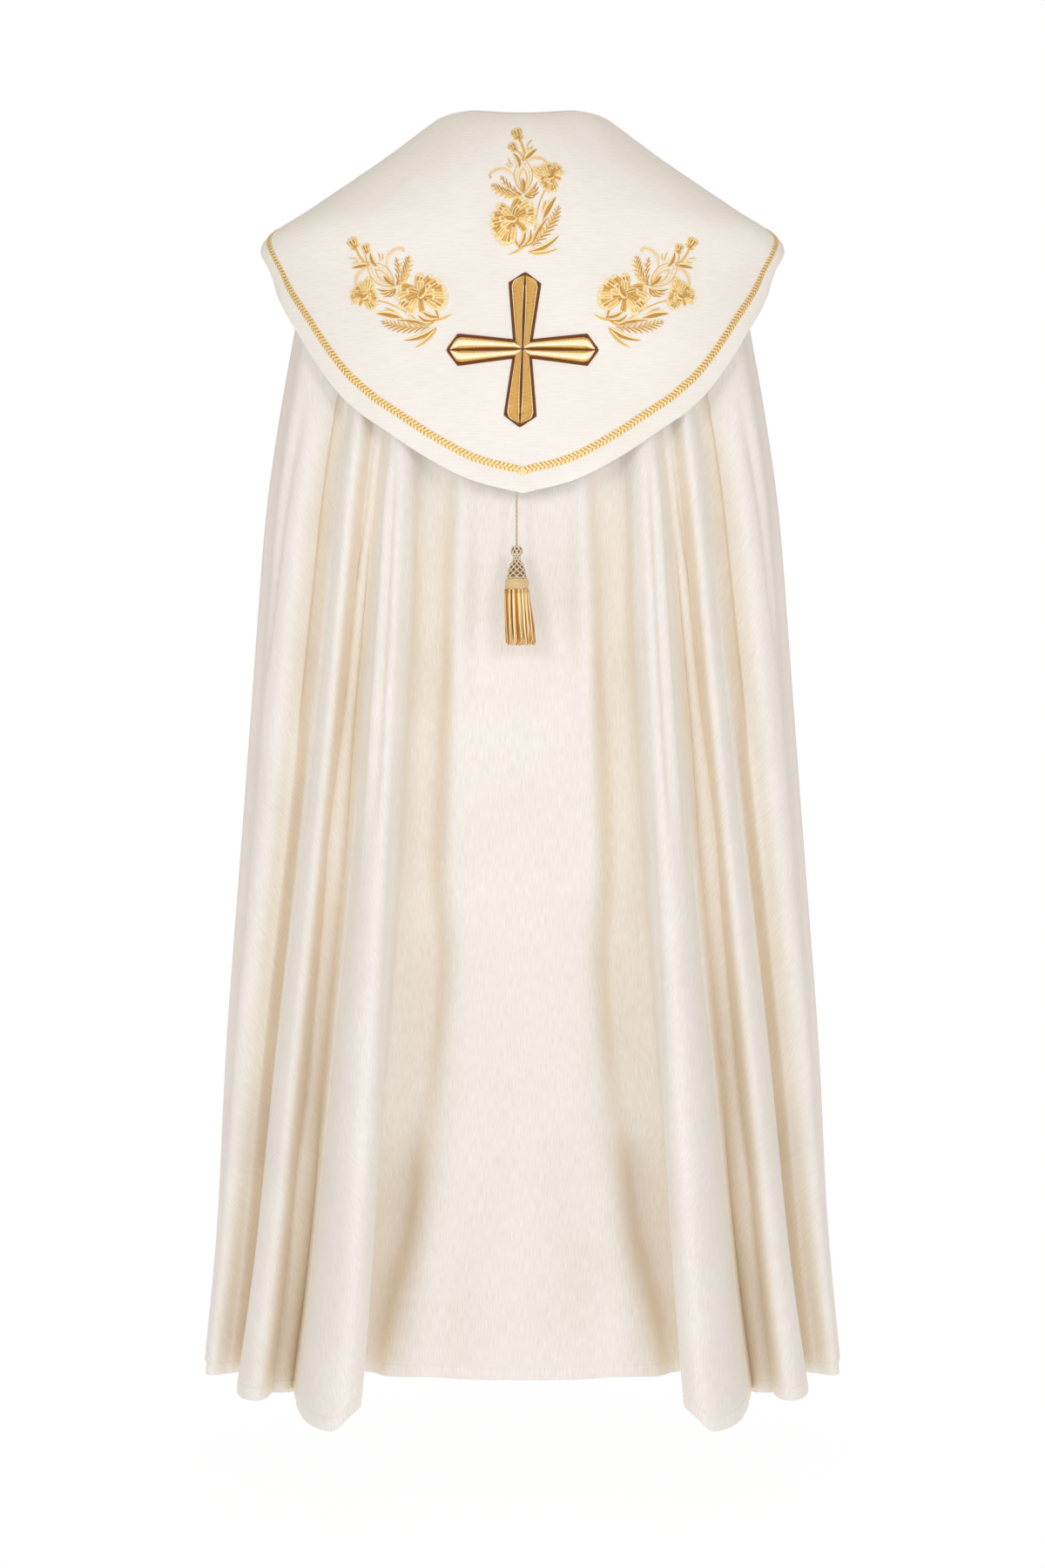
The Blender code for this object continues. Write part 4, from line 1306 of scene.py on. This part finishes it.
def make_fringe(top):
    """Strands drawn together into locks, with painted highlight on each lock's ridge and painted shade
    between locks.
    """
    rng = random.Random(7)
    strands, shades = [], []
    for _ in range(STRANDS):
        ring = rng.random() ** 0.5
        angle = math.tau * rng.random()
        lock = round(angle / math.tau * LOCKS) / LOCKS * math.tau
        aside = abs(angle - lock) / (math.pi / LOCKS) + rng.uniform(-0.25, 0.25)
        # Painted light: strands near a lock's ridge are light gold as painted highlight, those between
        # locks deep gold as painted shade.
        tone = LIGHT if aside < 0.42 else MID if aside < 0.80 else DEEP
        end_angle = angle + (lock - angle) * 0.6 * ring + rng.uniform(-0.05, 0.05)
        start_radius = 0.0022 + (BAND_RADIUS - 0.0024) * ring + 0.0004 * (tone == LIGHT)
        end_radius = start_radius * (1.16 + 0.12 * math.sin(lock * 3 + 1)) + 0.0008 * rng.random()
        length = FRINGE_LENGTH * (0.93 + 0.07 * rng.random())
        wave, phase = rng.uniform(0.0002, 0.0007), rng.uniform(0, math.tau)
        t = np.linspace(0, 1, 10)
        swing = angle + (end_angle - angle) * smooth_step(t * 1.3)
        radius = start_radius + (end_radius - start_radius) * t**0.8 + wave * np.sin(phase + 7 * t) * t
        x = radius * np.cos(swing) + FRINGE_LEAN * t**1.4
        path = top + np.stack([x, radius * np.sin(swing), -(BAND_BOTTOM - 0.001 + length * t)], axis=1)
        strand = tube(path, 0.00066 - 0.00012 * t, 4)
        strands.append(strand)
        shades += [tone] * len(strand[1])
    return make_object("tassel_fringe", *joined(strands), None, STRAND_GOLDS, shades)


# Stage: floor, world, lights and camera.


BACKDROP = (1.0, 1.0, 1.0)
WORLD_LIGHT = 0.50
DAYLIGHT = (0.955, 0.992, 1.075)
WARM_LIGHT = (1.0, 0.90, 0.76)
FLOOR_SIDES = 96
FLOOR_GREY = (0.93, 0.93, 0.93)
FLOOR_GLOW = 0.35
FLOOR_WHITENS = {"From Min": 0.45, "From Max": 1.7}


def make_floor():
    """A round pale floor that turns into the backdrop's white away from the garment."""
    mesh = bpy.data.meshes.new("floor")
    ring = [(*FLOOR_RADIUS * direction(360 * k / FLOOR_SIDES), FLOOR_HEIGHT) for k in range(FLOOR_SIDES)]
    mesh.from_pydata(ring, [], [tuple(range(FLOOR_SIDES))])
    floor = bpy.data.objects.new("floor", mesh)
    bpy.context.scene.collection.objects.link(floor)
    glowing = {"Emission_Color": (*BACKDROP, 1.0), "Emission_Strength": FLOOR_GLOW}
    shader = Shader("floor", FLOOR_GREY, 0.7, **glowing)
    place = shader.node("ShaderNodeTexCoord")
    length = shader.node("ShaderNodeVectorMath", operation="LENGTH")
    shader.link(place.outputs["Object"], length.inputs[0])
    fade = shader.node("ShaderNodeMapRange", interpolation_type="SMOOTHSTEP")
    for socket, distance in FLOOR_WHITENS.items():
        fade.inputs[socket].default_value = distance
    shader.link(length.outputs["Value"], fade.inputs["Value"])
    glow = shader.node("ShaderNodeEmission")
    glow.inputs["Color"].default_value = (*BACKDROP, 1.0)
    blend = shader.node("ShaderNodeMixShader")
    output = shader.tree.nodes["Material Output"]
    shader.link(fade.outputs["Result"], blend.inputs[0])
    shader.link(shader.principled.outputs[0], blend.inputs[1])
    shader.link(glow.outputs[0], blend.inputs[2])
    shader.link(blend.outputs[0], output.inputs["Surface"])
    mesh.materials.append(shader.material)


def make_world():
    """White behind the object, and a softer white light on it."""
    world = bpy.data.worlds.new("studio")
    world.use_nodes = True
    nodes, links = world.node_tree.nodes, world.node_tree.links
    nodes.clear()
    seen, light = nodes.new("ShaderNodeBackground"), nodes.new("ShaderNodeBackground")
    seen.inputs["Color"].default_value = (*BACKDROP, 1.0)
    light.inputs["Color"].default_value = (*WARM_LIGHT, 1.0)
    light.inputs["Strength"].default_value = WORLD_LIGHT
    path, mix = nodes.new("ShaderNodeLightPath"), nodes.new("ShaderNodeMixShader")
    output = nodes.new("ShaderNodeOutputWorld")
    links.new(path.outputs["Is Camera Ray"], mix.inputs[0])
    links.new(light.outputs[0], mix.inputs[1])
    links.new(seen.outputs[0], mix.inputs[2])
    links.new(mix.outputs[0], output.inputs["Surface"])
    bpy.context.scene.world = world


def add_light(name, place, target, size, power):
    data = bpy.data.lights.new(name, "AREA")
    data.shape = "DISK"
    data.size = size
    data.energy = power
    data.color = DAYLIGHT
    lamp = bpy.data.objects.new(name, data)
    bpy.context.scene.collection.objects.link(lamp)
    lamp.location = place
    aim = np.array(target) - np.array(place)
    lamp.rotation_euler = (
        math.atan2(math.hypot(aim[0], aim[1]), -aim[2]),
        0.0,
        math.atan2(-aim[0], aim[1]),
    )


def make_stage():
    make_floor()
    make_world()
    for hand in (-1, 1):
        add_light("side", (hand * 3.1, -2.7, -0.1), (0, 0, -0.7), size=2.0, power=13)
        add_light("front", (hand * 1.5, -4.3, 0.2), (0, 0, -0.7), size=0.9, power=28)
    add_light("top", (0, -0.8, 2.4), (0, 0, -0.4), size=1.8, power=10)
    camera = bpy.data.cameras.new("camera")
    camera.sensor_width = SENSOR
    camera.lens = SENSOR * CAMERA_DISTANCE / PHOTO_SPAN
    holder = bpy.data.objects.new("camera", camera)
    bpy.context.scene.collection.objects.link(holder)
    holder.location = (0, -CAMERA_DISTANCE, CAMERA_HEIGHT)
    holder.rotation_euler = (math.pi / 2, 0, 0)
    bpy.context.scene.camera = holder
    bpy.context.scene.view_settings.view_transform = "Standard"


make_stage()
cord_piece, cord_path = make_tassel_cord()
tassel_pieces = make_tassel()
mantle_piece = make_mantle()
hood_piece = make_hood()
galloon_piece = make_galloon()
make_sprays()
make_cross()
clasp_piece = make_clasp()
